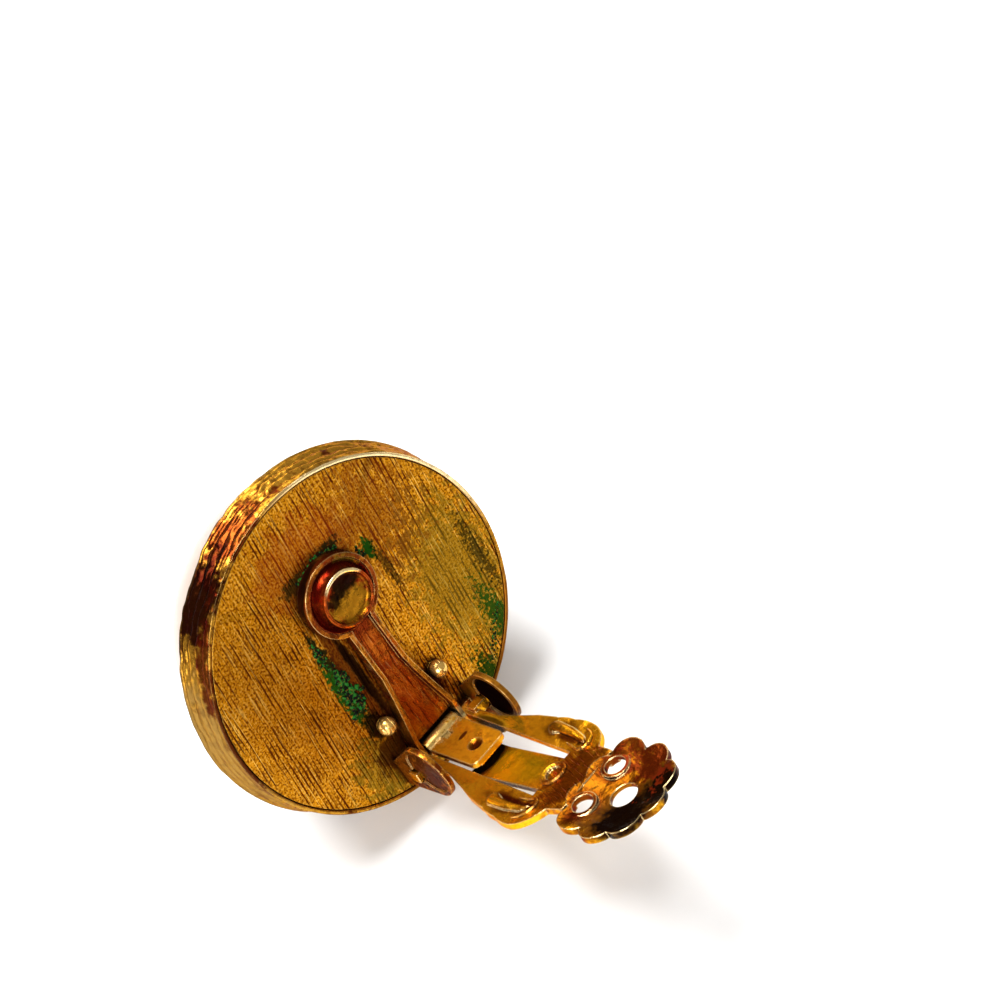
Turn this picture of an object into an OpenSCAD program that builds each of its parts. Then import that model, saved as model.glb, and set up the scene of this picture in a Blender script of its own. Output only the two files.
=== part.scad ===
// Button earring with a clip back, resting on its dome and on the front edge of its band.
// Each piece is drawn with the back plate's outer face at z = 0, the dome below it and the
// hinge towards +x. The whole earring is then leaned over until dome and band touch z = 0.

/* [Back plate] */
// Diameter of the back plate
plate_d = 24; // [22:0.5:26]
// Thickness of the back plate
plate_t = 0.6; // [0.4:0.05:0.8]
// Diameter of the two stop balls beside the arm
stop_ball_d = 1.35; // [1:0.05:1.6]
// How deep each stop ball is sunk in the plate
stop_ball_sink = 0.2; // [0.1:0.05:0.35]
// How far the stop balls lie from the hinge, towards the pad
stop_ball_back = 3.45; // [3:0.05:4.2]
// Gap between each stop ball and the arm
stop_gap = 0.2; // [0.1:0.05:0.4]

/* [Dome] */
// How far the dome's edge lies inside the plate's edge
dome_step = 0.35; // [0.2:0.05:0.8]
// Depth of the dome's centre behind the plate's outer face
dome_set = 1.95; // [1.2:0.05:2.6]
// Wall of the moulded dome, hollow towards the plate
dome_wall = 2; // [1.5:0.1:3]

/* [Band] */
// Depth of the band from the plate's outer face to its front edge
band_w = 2.85; // [2.2:0.05:3.6]
// Wall of the band at its front edge
band_front_wall = 1.1; // [0.8:0.05:1.4]
// Wall of the band at its back lip
lip_wall = 0.3; // [0.2:0.02:0.45]
// How far the lip stands above the plate
lip_rise = 0.06; // [0:0.01:0.15]
// Number of ridges round the band
ridge_count = 4; // [3:1:5]
// Height of each ridge
ridge_h = 0.2; // [0.1:0.02:0.3]
// Clearance between pieces that are set into each other
set_gap = 0.05; // [0.02:0.01:0.1]

/* [Rivet] */
// Diameter of the rivet's raised rim
rivet_d = 4.1; // [3.4:0.1:4.4]
// Height of the rivet's rim above the plate
rivet_h = 1.88; // [1.5:0.02:2.1]
// Diameter of the rivet's shank
shank_d = 2; // [1.4:0.1:2.4]
// Depth of the recess in the rivet's head
recess_depth = 0.3; // [0.15:0.05:0.5]

/* [Clip bracket] */
// Distance of the pad's middle from the middle of the plate
pad_x = 4; // [3:0.1:5]
// Diameter of the pad
pad_d = 5.9; // [5.4:0.1:6.6]
// Height of the pad's rim above the plate
pad_h = 1.02; // [0.8:0.02:1.2]
// Thickness of the bracket's sheet
sheet_t = 0.45; // [0.35:0.05:0.5]
// Wall of the arm and of the pad's rim
arm_wall = 0.35; // [0.3:0.05:0.45]
// Width of the arm next to the pad
arm_w_pad = 2.5; // [2.2:0.1:2.9]
// Width of the arm next to the hinge
arm_w_hinge = 4.3; // [4.2:0.1:4.6]
// Height of the arm's walls next to the hinge
arm_h = 1.2; // [1:0.02:1.3]
// Thickness of each ear
ear_t = 0.4; // [0.35:0.05:0.5]
// Distance between the ears
ear_gap = 6.7; // [6.6:0.1:7.4]
// Depth of the dished face on each side of an ear
ear_dish = 0.12; // [0.06:0.02:0.14]
// Radius of each ear's round head
ear_r = 2.15; // [2:0.05:2.4]
// Height of the middle of the ear's head above the plate
ear_z = 3.9; // [3.5:0.1:4.2]

/* [Hinge] */
// How far the hinge lies inside the plate's edge
hinge_inset = 2.45; // [2.2:0.05:2.8]
// Height of the hinge above the plate
hinge_z = 2.1; // [2:0.05:2.4]
// Side of each square peg
peg_w = 0.8; // [0.6:0.05:0.9]
// Clearance of the peg's corners in the ear's hole
peg_clear = 0.05; // [0.02:0.01:0.1]
// How far each peg shows outside its ear
peg_proud = 0.2; // [0.05:0.05:0.4]
// Angle of the open paddle from the plate
open_angle = 87.6; // [84:0.2:92]

/* [Spring link] */
// Width of the link
link_w = 3.2; // [2.6:0.1:3.3]
// Length of the link from its pivot rod to its rolled end
link_len = 5.7; // [5.2:0.1:5.9]
// Thickness of the link
link_t = 0.4; // [0.3:0.05:0.45]
// Height of the pivot rod above the plate
rod_z = 0.75; // [0.7:0.05:0.85]
// Diameter of the pivot rod
rod_d = 0.56; // [0.4:0.02:0.6]
// Clearance of the link's eye on its rod
rod_clear = 0.05; // [0.02:0.01:0.1]
// Wall of the link's eye
eye_wall = 0.24; // [0.18:0.02:0.28]
// Side of the square window in the link
window_w = 0.65; // [0.4:0.05:0.8]
// Radius of the pressed dimple in the link
dimple_r = 0.58; // [0.4:0.02:0.7]
// Radius of the link's two far corners
corner_r = 0.5; // [0.2:0.05:0.7]

/* [Paddle] */
// Thickness of the paddle's sheet
paddle_t = 0.35; // [0.3:0.05:0.4]
// Depth of the rolled rim round the paddle
rim_depth = 0.55; // [0.4:0.05:0.8]
// Width of the rolled rim
rim_w = 0.45; // [0.35:0.05:0.6]
// Half of the gap between the two arms
arm_in = 1.95; // [1.85:0.05:2.05]
// Half of the paddle's width at its pegs
root_w = 2.55; // [2.45:0.05:2.75]
// Depth of the flange along the inside of each arm's root
flange_depth = 0.9; // [0.6:0.05:0.95]
// Distance of the lobes' middle from the hinge
lobe_l = 9.9; // [9:0.1:10.5]
// Half of the paddle's width over the lobes
lobe_w = 4.6; // [4.4:0.05:4.9]
// Radius of each lobe
lobe_r = 3.5; // [3.3:0.05:3.7]
// Distance of the flower's middle from the hinge
flower_l = 17.9; // [17:0.1:18.5]
// Length of the flower from its middle to its tip
flower_r = 4.05; // [3.8:0.05:4.4]
// Half of the flower's width over its side petals
flower_side = 4.25; // [3.9:0.05:4.6]
// Radius of each petal
petal_r = 1.3; // [1.2:0.05:1.4]
// Radius of the dished face of the flower
dish_r = 14; // [12:0.5:18]
// Diameter of the large hole
big_hole_d = 2; // [1.6:0.1:2.4]
// Diameter of the two small holes
small_hole_d = 1.5; // [1.2:0.1:1.8]
// Width of the raised rim round each small hole
eyelet_w = 0.28; // [0.15:0.01:0.35]
// Height of the raised drops on the lobes and of the ring on the tongue's root
relief_h = 0.14; // [0.08:0.02:0.2]
// Width of the tongue between the two slots
tongue_w = 2.8; // [2.3:0.1:2.9]
// Thickness of the tongue with its turned edges
tongue_t = 0.45; // [0.35:0.05:0.5]
// Radius of the ring pressed into the tongue's root
ring_r = 1; // [0.8:0.05:1.2]
// How far the tongue's free end is bent back
tongue_bend = 1.2; // [1.1:0.05:1.5]

/* [Hidden] */
$fn = 72;

gold = [0.78, 0.55, 0.24];
dull_gold = [0.68, 0.50, 0.20];
pearl = [0.88, 0.84, 0.78];

plate_r = plate_d / 2;
dome_r = plate_r - dome_step;
seat_r = plate_r + set_gap;
band_in_r = dome_r + set_gap;
band_back_r = seat_r + lip_wall;
band_front_r = dome_r + set_gap + band_front_wall;
shoulder_z = -plate_t - set_gap;

hinge_x = plate_r - hinge_inset;
pad_r = pad_d / 2;
rivet_r = rivet_d / 2;
shank_r = shank_d / 2;
pad_floor = set_gap + sheet_t;
rod_r = rod_d / 2;
eye_r = rod_r + rod_clear + eye_wall;
ear_in = ear_gap / 2;
ear_out = ear_in + ear_t;
peg_hole_r = peg_w / sqrt(2) + peg_clear;

// Places on the bracket that follow the hinge
arm_past_hinge = 0.55;
base_past_hinge = 1.45;
rod_past_hinge = 0.15;
ear_before_hinge = 0.85;
arm_end = hinge_x + arm_past_hinge;
base_end = hinge_x + base_past_hinge;
rod_x = hinge_x + rod_past_hinge;
ear_x = hinge_x - ear_before_hinge;

// Longer than any piece that is cut right through
cut_h = 8;

// Half width of the arm's outline at a distance x from the middle of the plate. The arm keeps
// its width up to arm_mid_x, then flares until flare_x.
arm_mid_x = 3;
flare_before_hinge = 1.25;
flare_x = hinge_x - flare_before_hinge;
flare_power = 1.2;
arm_half_pad = arm_w_pad / 2;
arm_half_hinge = arm_w_hinge / 2;
function flare_share(x) = min(1, max(0, (x - arm_mid_x) / (flare_x - arm_mid_x)));
function arm_half(x) =
    arm_half_pad + (arm_half_hinge - arm_half_pad) * pow(flare_share(x), flare_power);
stop_ball_r = stop_ball_d / 2;
stop_ball_x = hinge_x - stop_ball_back;
stop_ball_y = arm_half(stop_ball_x + stop_ball_r) + stop_gap + stop_ball_r;

// The lean at which the dome and the band's front edge touch the same floor
edge_drop = band_w - dome_set;
edge_dist = norm([band_front_r, edge_drop]);
lean = atan2(band_front_r, edge_drop) - acos(dome_r / edge_dist);

// The flower is dished about a point nearer the hinge than its own middle
dish_before_flower = 1.2;
dish_l = flower_l - dish_before_flower;
dish_z = 0.85;
tip_l = flower_l + flower_r;
function dish_height(l) = dish_z + dish_r - sqrt(dish_r * dish_r - pow(l - dish_l, 2));

// Where the far left of the dome and the paddle's tip come when the earring leans
rim_height = dish_z + dish_r - sqrt(pow(dish_r + rim_depth, 2) - pow(tip_l - dish_l, 2));
tip_x = hinge_x + tip_l * cos(open_angle) - rim_height * sin(open_angle);
tip_z = hinge_z + tip_l * sin(open_angle) + rim_height * cos(open_angle);
far_right = tip_x * cos(lean) + tip_z * sin(lean);
far_left = -dome_set * sin(lean) - dome_r;
shift_x = -(far_left + far_right) / 2;
shift_z = dome_r + dome_set * cos(lean);

module rest_pose() {
    translate([shift_x, 0, shift_z]) rotate([0, lean, 0]) children();
}

// Dome

module dome_solid(r, top) {
    intersection() {
        sphere(r = r, $fn = 120);
        translate([0, 0, -dome_r]) cube(2 * dome_r, center = true);
    }
    cylinder(r = r, h = top, $fn = 120);
}

module cabochon_shape() {
    translate([0, 0, -dome_set]) difference() {
        dome_solid(dome_r, dome_set + shoulder_z - set_gap);
        dome_solid(dome_r - dome_wall, dome_set);
    }
}

// Band: a turned ring with a thin lip round the plate and ridges down its outside

band_curve = 0.7;
function ridge_point(i) =
    let (part = (i + 0.5) / (2 * ridge_count))
    let (groove = i % 2 == 0 ? ridge_h : 0)
    [band_back_r + (band_front_r - band_back_r) * pow(part, band_curve) - groove, -part * band_w];

module setting_band_shape() {
    rotate_extrude($fn = 120) polygon(concat(
        [[seat_r, lip_rise], [band_back_r, lip_rise], [band_back_r, 0]],
        [for (i = [0 : 2 * ridge_count - 1]) ridge_point(i)],
        [[band_front_r, -band_w], [band_in_r, -band_w], [band_in_r, shoulder_z], [seat_r, shoulder_z]]
    ));
}

// Back plate with its rivet hole and two soldered stop balls

module back_plate_shape() {
    difference() {
        translate([0, 0, -plate_t]) cylinder(r = plate_r, h = plate_t, $fn = 120);
        translate([-pad_x, 0, 0]) cylinder(r = shank_r + set_gap, h = cut_h, center = true);
    }
    for (side = [-1, 1]) {
        intersection() {
            translate([stop_ball_x, side * stop_ball_y, stop_ball_r - stop_ball_sink]) {
                sphere(r = stop_ball_r);
            }
            translate([0, 0, -plate_t / 2]) cylinder(r = plate_r, h = 2 * stop_ball_d);
        }
    }
}

// Rivet: a shank through pad and plate, and a flared head with a recess

head_gap = 0.02;
head_flare = 0.25;
head_bevel = [0.06, 0.15];
rim_top_w = 0.18;
recess_slope = 0.16;
recess_sag = 0.05;
head_foot_z = pad_floor + head_gap;
head_foot_r = min(rivet_r + head_flare, pad_r - arm_wall - set_gap);
rim_inner_r = rivet_r - head_bevel[0] - rim_top_w;
recess_z = rivet_h - recess_depth;

module rivet_shape() {
    translate([-pad_x, 0, 0]) rotate_extrude() polygon([
        [0, -plate_t], [shank_r, -plate_t], [shank_r, head_foot_z], [head_foot_r, head_foot_z],
        [rivet_r, rivet_h - head_bevel[1]], [rivet_r - head_bevel[0], rivet_h], [rim_inner_r, rivet_h],
        [rim_inner_r - recess_slope, recess_z], [0, recess_z - recess_sag]
    ]);
}

// Clip bracket: dished pad, channel arm, pivot rod, base strip and two ears

arm_steps = [
    -pad_x + 1, arm_mid_x, (2 * arm_mid_x + flare_x) / 3, (arm_mid_x + 2 * flare_x) / 3,
    flare_x, arm_end
];
arm_end_bevel = [0.4, 0.1];
arm_low = pad_h - 0.15;
link_room = 0.25;
base_start = arm_end - arm_end_bevel[0];
ear_rim_w = 0.35;
ear_neck_turn = 20;

module arm_outline(inset) {
    polygon(concat(
        [for (x = arm_steps) [x, arm_half(x) - inset]],
        [for (i = [len(arm_steps) - 1 : -1 : 0]) [arm_steps[i], -arm_half(arm_steps[i]) + inset]]
    ));
}

module arm_side() {
    rotate([90, 0, 0]) linear_extrude(height = arm_w_hinge, center = true) polygon([
        [-pad_x, set_gap], [arm_end, set_gap], [arm_end, arm_h - arm_end_bevel[1]],
        [arm_end - arm_end_bevel[0], arm_h], [flare_x, arm_h],
        [-pad_x + pad_r, arm_low], [-pad_x, arm_low]
    ]);
}

// The room that the link's eye turns in, from its near side for a given length
module eye_room(length) {
    translate([rod_x - eye_r - link_room, -arm_half_hinge + arm_wall, -cut_h / 2]) {
        cube([length, arm_w_hinge - 2 * arm_wall, cut_h]);
    }
}

module pad_and_arm() {
    difference() {
        union() {
            translate([-pad_x, 0, set_gap]) cylinder(r = pad_r, h = pad_h - set_gap);
            intersection() {
                linear_extrude(height = cut_h) arm_outline(0);
                arm_side();
            }
        }
        translate([-pad_x, 0, pad_floor]) cylinder(r = pad_r - arm_wall, h = cut_h);
        translate([-pad_x, 0, 0]) cylinder(r = shank_r + set_gap, h = cut_h, center = true);
        translate([0, 0, pad_floor]) linear_extrude(height = cut_h) arm_outline(arm_wall);
        eye_room(arm_end);
    }
}

module base_strip() {
    difference() {
        translate([base_start, -ear_out, set_gap]) cube([base_end - base_start, 2 * ear_out, sheet_t]);
        eye_room(2 * eye_r + 2 * link_room);
    }
}

module ear_outline() {
    difference() {
        union() {
            translate([ear_x, ear_z]) circle(r = ear_r);
            polygon([
                [ear_x - ear_r * cos(ear_neck_turn), ear_z - ear_r * sin(ear_neck_turn)],
                [ear_x, set_gap], [base_end, set_gap], [ear_x + ear_r, ear_z]
            ]);
        }
        translate([hinge_x, hinge_z]) circle(r = peg_hole_r);
    }
}

module ear() {
    rotate([90, 0, 0]) difference() {
        linear_extrude(height = ear_t, center = true) ear_outline();
        for (face = [-1, 1]) {
            translate([ear_x, ear_z, face * (ear_t / 2 - ear_dish + cut_h / 2)]) {
                cylinder(r = ear_r - ear_rim_w, h = cut_h, center = true);
            }
        }
    }
}

module clip_bracket_shape() {
    pad_and_arm();
    base_strip();
    translate([rod_x, 0, rod_z]) rotate([90, 0, 0]) {
        cylinder(r = rod_r, h = arm_w_hinge - arm_wall, center = true);
    }
    for (side = [-1, 1]) {
        translate([0, side * (ear_in + ear_t / 2), 0]) ear();
    }
}

// Spring link: an eye on the pivot rod, an upright leaf with a window and a dimple, and a
// rolled end between two round corners

dimple_depth = 0.22;
dimple_below_end = 1.75;
dimple_ball_r = (dimple_r * dimple_r + dimple_depth * dimple_depth) / (2 * dimple_depth);
link_top = link_len - link_t / 2;

module link_leaf() {
    rotate([90, 0, 90]) linear_extrude(height = link_t, center = true) {
        translate([-link_w / 2, 0]) square([link_w, link_top - corner_r]);
        translate([-link_w / 2 + corner_r, 0]) square([link_w - 2 * corner_r, link_top]);
        for (side = [-1, 1]) {
            translate([side * (link_w / 2 - corner_r), link_top - corner_r]) circle(r = corner_r);
        }
    }
}

module spring_link_shape() {
    translate([rod_x, 0, rod_z]) difference() {
        union() {
            rotate([90, 0, 0]) cylinder(r = eye_r, h = link_w, center = true);
            link_leaf();
            for (x = [0, link_t / 2]) {
                translate([x, 0, link_len - link_t]) rotate([90, 0, 0]) {
                    cylinder(r = link_t / 2, h = link_w - 2 * corner_r, center = true);
                }
            }
        }
        rotate([90, 0, 0]) cylinder(r = rod_r + rod_clear, h = cut_h, center = true);
        translate([-cut_h / 2, -window_w / 2, eye_r]) cube([cut_h, window_w, window_w]);
        translate([-link_t / 2 + dimple_depth - dimple_ball_r, 0, link_len - dimple_below_end]) {
            sphere(r = dimple_ball_r);
        }
    }
}

// Paddle, drawn with its hinge along y at the origin, its length along +x and the side that
// meets the ear upwards

face_z = 0.1;
root_l = -0.5;
rim_start = 4.3;
slot_end = lobe_l + 0.55;
neck_l = flower_l - flower_r + 0.45;
neck_end = neck_l + 0.4;
neck_z = dish_height(neck_l);
neck_w = 2.65;
shoulder_w = 3.2;
lobe_side = lobe_w - 0.5;
lobe_back_r = 3.1;
lobe_back_w = lobe_w - 0.2;

module lobe_outline(inset) {
    for (side = [-1, 1]) {
        translate([lobe_l, side * (lobe_w - lobe_r)]) circle(r = lobe_r - inset);
        translate([lobe_l - 1.3, side * (lobe_back_w - lobe_back_r)]) circle(r = lobe_back_r - inset);
        polygon([
            [root_l, side * (root_w - inset)], [2.5, side * (root_w + 0.18 - inset)],
            [rim_start, side * (root_w + 0.75 - inset)], [lobe_l - 4.3, side * (root_w + 1.22 - inset)],
            [lobe_l - 2.8, side * (lobe_side - inset)], [lobe_l, side * (lobe_side - inset)],
            [lobe_l, 0], [root_l, 0]
        ]);
    }
    polygon([
        [lobe_l, -shoulder_w + inset], [neck_l - 0.6, -neck_w - 0.1 + inset],
        [neck_end, -neck_w + inset], [neck_end, neck_w - inset],
        [neck_l - 0.6, neck_w + 0.1 - inset], [lobe_l, shoulder_w - inset]
    ]);
}

// A layer that follows the arms, then climbs along the neck to the flower
module lever_layer(top, depth) {
    climb = neck_z - face_z;
    flat_end = neck_end - 0.1;
    rotate([90, 0, 0]) linear_extrude(height = 3 * lobe_w, center = true) polygon([
        [2 * root_l, top], [slot_end, top], [neck_l, top + climb], [flat_end, top + climb],
        [flat_end, top + climb - depth], [neck_l, top + climb - depth],
        [slot_end, top - depth], [2 * root_l, top - depth]
    ]);
}

// Upright walls over an outline drawn in the paddle's plane
module standing() {
    translate([0, 0, -cut_h / 2]) linear_extrude(height = cut_h) children();
}

// Turn round the flower and reach, as a share, of the petals from the tip towards the neck
petal_turn = [0, 40, 80, 125, 160];
petal_reach = [1, 1, 0.97, 1.11, 1];
hub_over = 0.35;

module flower_outline(inset) {
    translate([flower_l, 0]) {
        circle(r = flower_r - petal_r + hub_over);
        for (side = [-1, 1], i = [0 : len(petal_turn) - 1]) {
            reach = petal_reach[i];
            turn = side * petal_turn[i];
            x = (flower_r - petal_r) * reach * cos(turn);
            y = (flower_side - petal_r) * reach * sin(turn);
            translate([x, y]) circle(r = petal_r - inset);
        }
    }
}

module dish_layer(depth) {
    translate([dish_l, 0, dish_z + dish_r]) difference() {
        sphere(r = dish_r + depth, $fn = 120);
        sphere(r = dish_r, $fn = 120);
    }
}

module flower_part(depth) {
    intersection() {
        dish_layer(depth);
        standing() children();
    }
}

big_hole_l = flower_l + 0.2;
small_hole_l = flower_l - 2.1;
small_hole_y = 1.7;
eyelet_z = dish_height(small_hole_l) + small_hole_y * small_hole_y / (2 * dish_r);
neck_mouth = [2.6, 4.4];

module flower_shape() {
    difference() {
        union() {
            flower_part(paddle_t) flower_outline(0);
            flower_part(rim_depth) difference() {
                flower_outline(0);
                flower_outline(rim_w);
                translate([neck_l - 2, -neck_mouth[1] / 2]) square(neck_mouth);
            }
            for (side = [-1, 1]) {
                translate([small_hole_l, side * small_hole_y, eyelet_z]) {
                    cylinder(d = small_hole_d + 2 * eyelet_w, h = 2 * relief_h, center = true);
                }
            }
        }
        translate([big_hole_l, 0, 0]) cylinder(d = big_hole_d, h = cut_h, center = true);
        for (side = [-1, 1]) {
            translate([small_hole_l, side * small_hole_y, 0]) {
                cylinder(d = small_hole_d, h = cut_h, center = true);
            }
        }
    }
}

// The arms, lobes and neck in one sheet, with a rolled rim round the lobes
module lever_shape() {
    difference() {
        union() {
            intersection() {
                lever_layer(face_z, paddle_t);
                standing() lobe_outline(0);
            }
            intersection() {
                lever_layer(face_z, rim_depth);
                standing() difference() {
                    lobe_outline(0);
                    lobe_outline(rim_w);
                    translate([2 * root_l, -lobe_w]) square([rim_start - 2 * root_l, 2 * lobe_w]);
                }
            }
        }
        translate([2 * root_l, -arm_in, -cut_h / 2]) cube([slot_end - 2 * root_l, 2 * arm_in, cut_h]);
    }
    for (side = [-1, 1]) {
        translate([lobe_l, side * (lobe_w - 1.3), face_z - paddle_t / 2]) {
            linear_extrude(height = paddle_t / 2 + relief_h) drop_outline(side);
        }
    }
}

// A drop with a round head towards the hinge and a tail that hooks inwards
module drop_outline(side) {
    translate([-2.1, 0]) circle(r = 0.52);
    polygon([
        [-2, side * 0.5], [-0.6, side * 0.42], [0.6, side * 0.14], [1.35, -side * 0.3],
        [1.3, -side * 0.85], [1.05, -side * 0.85], [1, -side * 0.4], [0.4, -side * 0.12],
        [-0.7, side * 0.05], [-2, -side * 0.5]
    ]);
}

// Inner flanges that stiffen the arms beside the pegs
module root_flanges() {
    low = face_z - flange_depth;
    for (side = [-1, 1]) {
        translate([0, side * (arm_in + paddle_t / 2), 0]) rotate([90, 0, 0]) {
            linear_extrude(height = paddle_t, center = true) polygon([
                [root_l, face_z], [4.2, face_z], [3.4, low + 0.3],
                [2.8, low], [0.2, low], [root_l, low + 0.35]
            ]);
        }
    }
}

tongue_free = 2.6;
tongue_root = slot_end + 0.1;
ring_w = 0.42;

module tongue_shape() {
    back = [
        [tongue_root, face_z], [slot_end - 0.7, face_z - 0.15], [5, -0.8 * tongue_bend],
        [4, -tongue_bend + 0.05], [tongue_free, -tongue_bend]
    ];
    rotate([90, 0, 0]) linear_extrude(height = tongue_w, center = true) polygon(concat(
        back,
        [for (i = [len(back) - 1 : -1 : 0]) [back[i][0], back[i][1] - (i == 0 ? paddle_t : tongue_t)]]
    ));
    translate([slot_end + 0.3, 0, face_z - paddle_t]) difference() {
        cylinder(r = ring_r, h = paddle_t + relief_h);
        cylinder(r = ring_r - ring_w, h = cut_h);
    }
}

module pegs() {
    peg_in = root_w - 0.3;
    peg_out = ear_out + peg_proud;
    for (side = [-1, 1]) {
        translate([0, side * (peg_in + peg_out) / 2, 0]) {
            cube([peg_w, peg_out - peg_in, peg_w], center = true);
        }
    }
}

module paddle_shape() {
    translate([hinge_x, 0, hinge_z]) rotate([0, -open_angle, 0]) {
        lever_shape();
        root_flanges();
        tongue_shape();
        flower_shape();
        pegs();
    }
}

module cabochon() { color(pearl) rest_pose() cabochon_shape(); }
module setting_band() { color(gold) rest_pose() setting_band_shape(); }
module back_plate() { color(dull_gold) rest_pose() back_plate_shape(); }
module rivet() { color(gold) rest_pose() rivet_shape(); }
module clip_bracket() { color(gold) rest_pose() clip_bracket_shape(); }
module spring_link() { color(dull_gold) rest_pose() spring_link_shape(); }
module paddle() { color(gold) rest_pose() paddle_shape(); }

cabochon();
setting_band();
back_plate();
rivet();
clip_bracket();
spring_link();
paddle();
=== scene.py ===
"""Looks of a clip-back button earring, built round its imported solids.

Sizes in millimetres are given in the plate's own frame: the back plate's outer face is z = 0,
the dome lies below it, and x points from the rivet to the hinge. RestPose turns them into the
row frame, in metres.
"""

import logging
import math
from dataclasses import dataclass
from enum import Enum

import bpy
import numpy as np
from bpy.types import Material, Node, NodeOutputs, NodeSocket, NodeTree, Object
from mathutils import Matrix, Vector

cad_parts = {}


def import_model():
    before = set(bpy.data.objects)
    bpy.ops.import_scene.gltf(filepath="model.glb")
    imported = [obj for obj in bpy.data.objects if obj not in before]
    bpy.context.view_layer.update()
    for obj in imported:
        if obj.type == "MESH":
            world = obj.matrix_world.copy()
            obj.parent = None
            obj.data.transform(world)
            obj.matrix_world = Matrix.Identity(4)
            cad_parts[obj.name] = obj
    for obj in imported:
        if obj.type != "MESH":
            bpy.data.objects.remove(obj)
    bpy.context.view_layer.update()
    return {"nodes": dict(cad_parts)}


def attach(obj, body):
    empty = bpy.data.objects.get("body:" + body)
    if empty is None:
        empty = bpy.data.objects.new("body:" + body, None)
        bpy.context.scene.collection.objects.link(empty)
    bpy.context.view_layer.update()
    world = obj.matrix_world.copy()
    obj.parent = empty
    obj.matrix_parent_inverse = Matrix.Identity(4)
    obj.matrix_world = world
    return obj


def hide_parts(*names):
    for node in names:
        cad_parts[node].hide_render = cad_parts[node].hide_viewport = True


MM = 0.001
BAND_SEED = 11
RIVET_SEED = 5
CRUST_SEED = 23
PAD_SEED = 31
POLE_GAP = 0.002
END_GAP = 1e-6

Colour = tuple[float, float, float, float]
Place = tuple[float, float, float]

logging.basicConfig(level=logging.INFO, format="%(message)s")
log = logging.getLogger("earring")


class Body(Enum):
    """The rigid bodies that pieces ride on."""

    EARRING = "earring"
    LEVER = "lever"


@dataclass(frozen=True)
class RestPose:
    """How the earring rests: leaned over until dome and band touch the floor.

    The lean and the shift follow from the same sizes as the solids.
    """

    dome_r: float = 11.65
    dome_set: float = 1.95
    band_r: float = 12.8
    band_w: float = 2.85
    shift_x: float = -6.086853

    def lean(self) -> float:
        """Returns: the lean about +Y, in radians."""
        drop = self.band_w - self.dome_set
        reach = math.hypot(self.band_r, drop)
        return math.atan2(self.band_r, drop) - math.acos(self.dome_r / reach)

    def shift(self) -> Vector:
        """Returns: where the plate's middle lies in the row frame, in millimetres."""
        height = self.dome_r + self.dome_set * math.cos(self.lean())
        return Vector((self.shift_x, 0.0, height))

    def matrix(self) -> Matrix:
        """Returns: the matrix from the plate's frame in mm to the row frame in metres."""
        turn = Matrix.Rotation(self.lean(), 4, "Y")
        return Matrix.Scale(MM, 4) @ Matrix.Translation(self.shift()) @ turn

    def point(self, x: float, y: float, z: float) -> Vector:
        """Returns: a point of the plate's frame, in the row frame."""
        return self.matrix() @ Vector((x, y, z))

    def direction(self, x: float, y: float, z: float) -> Vector:
        """Returns: a direction of the plate's frame, in the row frame."""
        return (self.matrix().to_3x3() @ Vector((x, y, z))).normalized()


POSE = RestPose()


# Shader graphs


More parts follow.
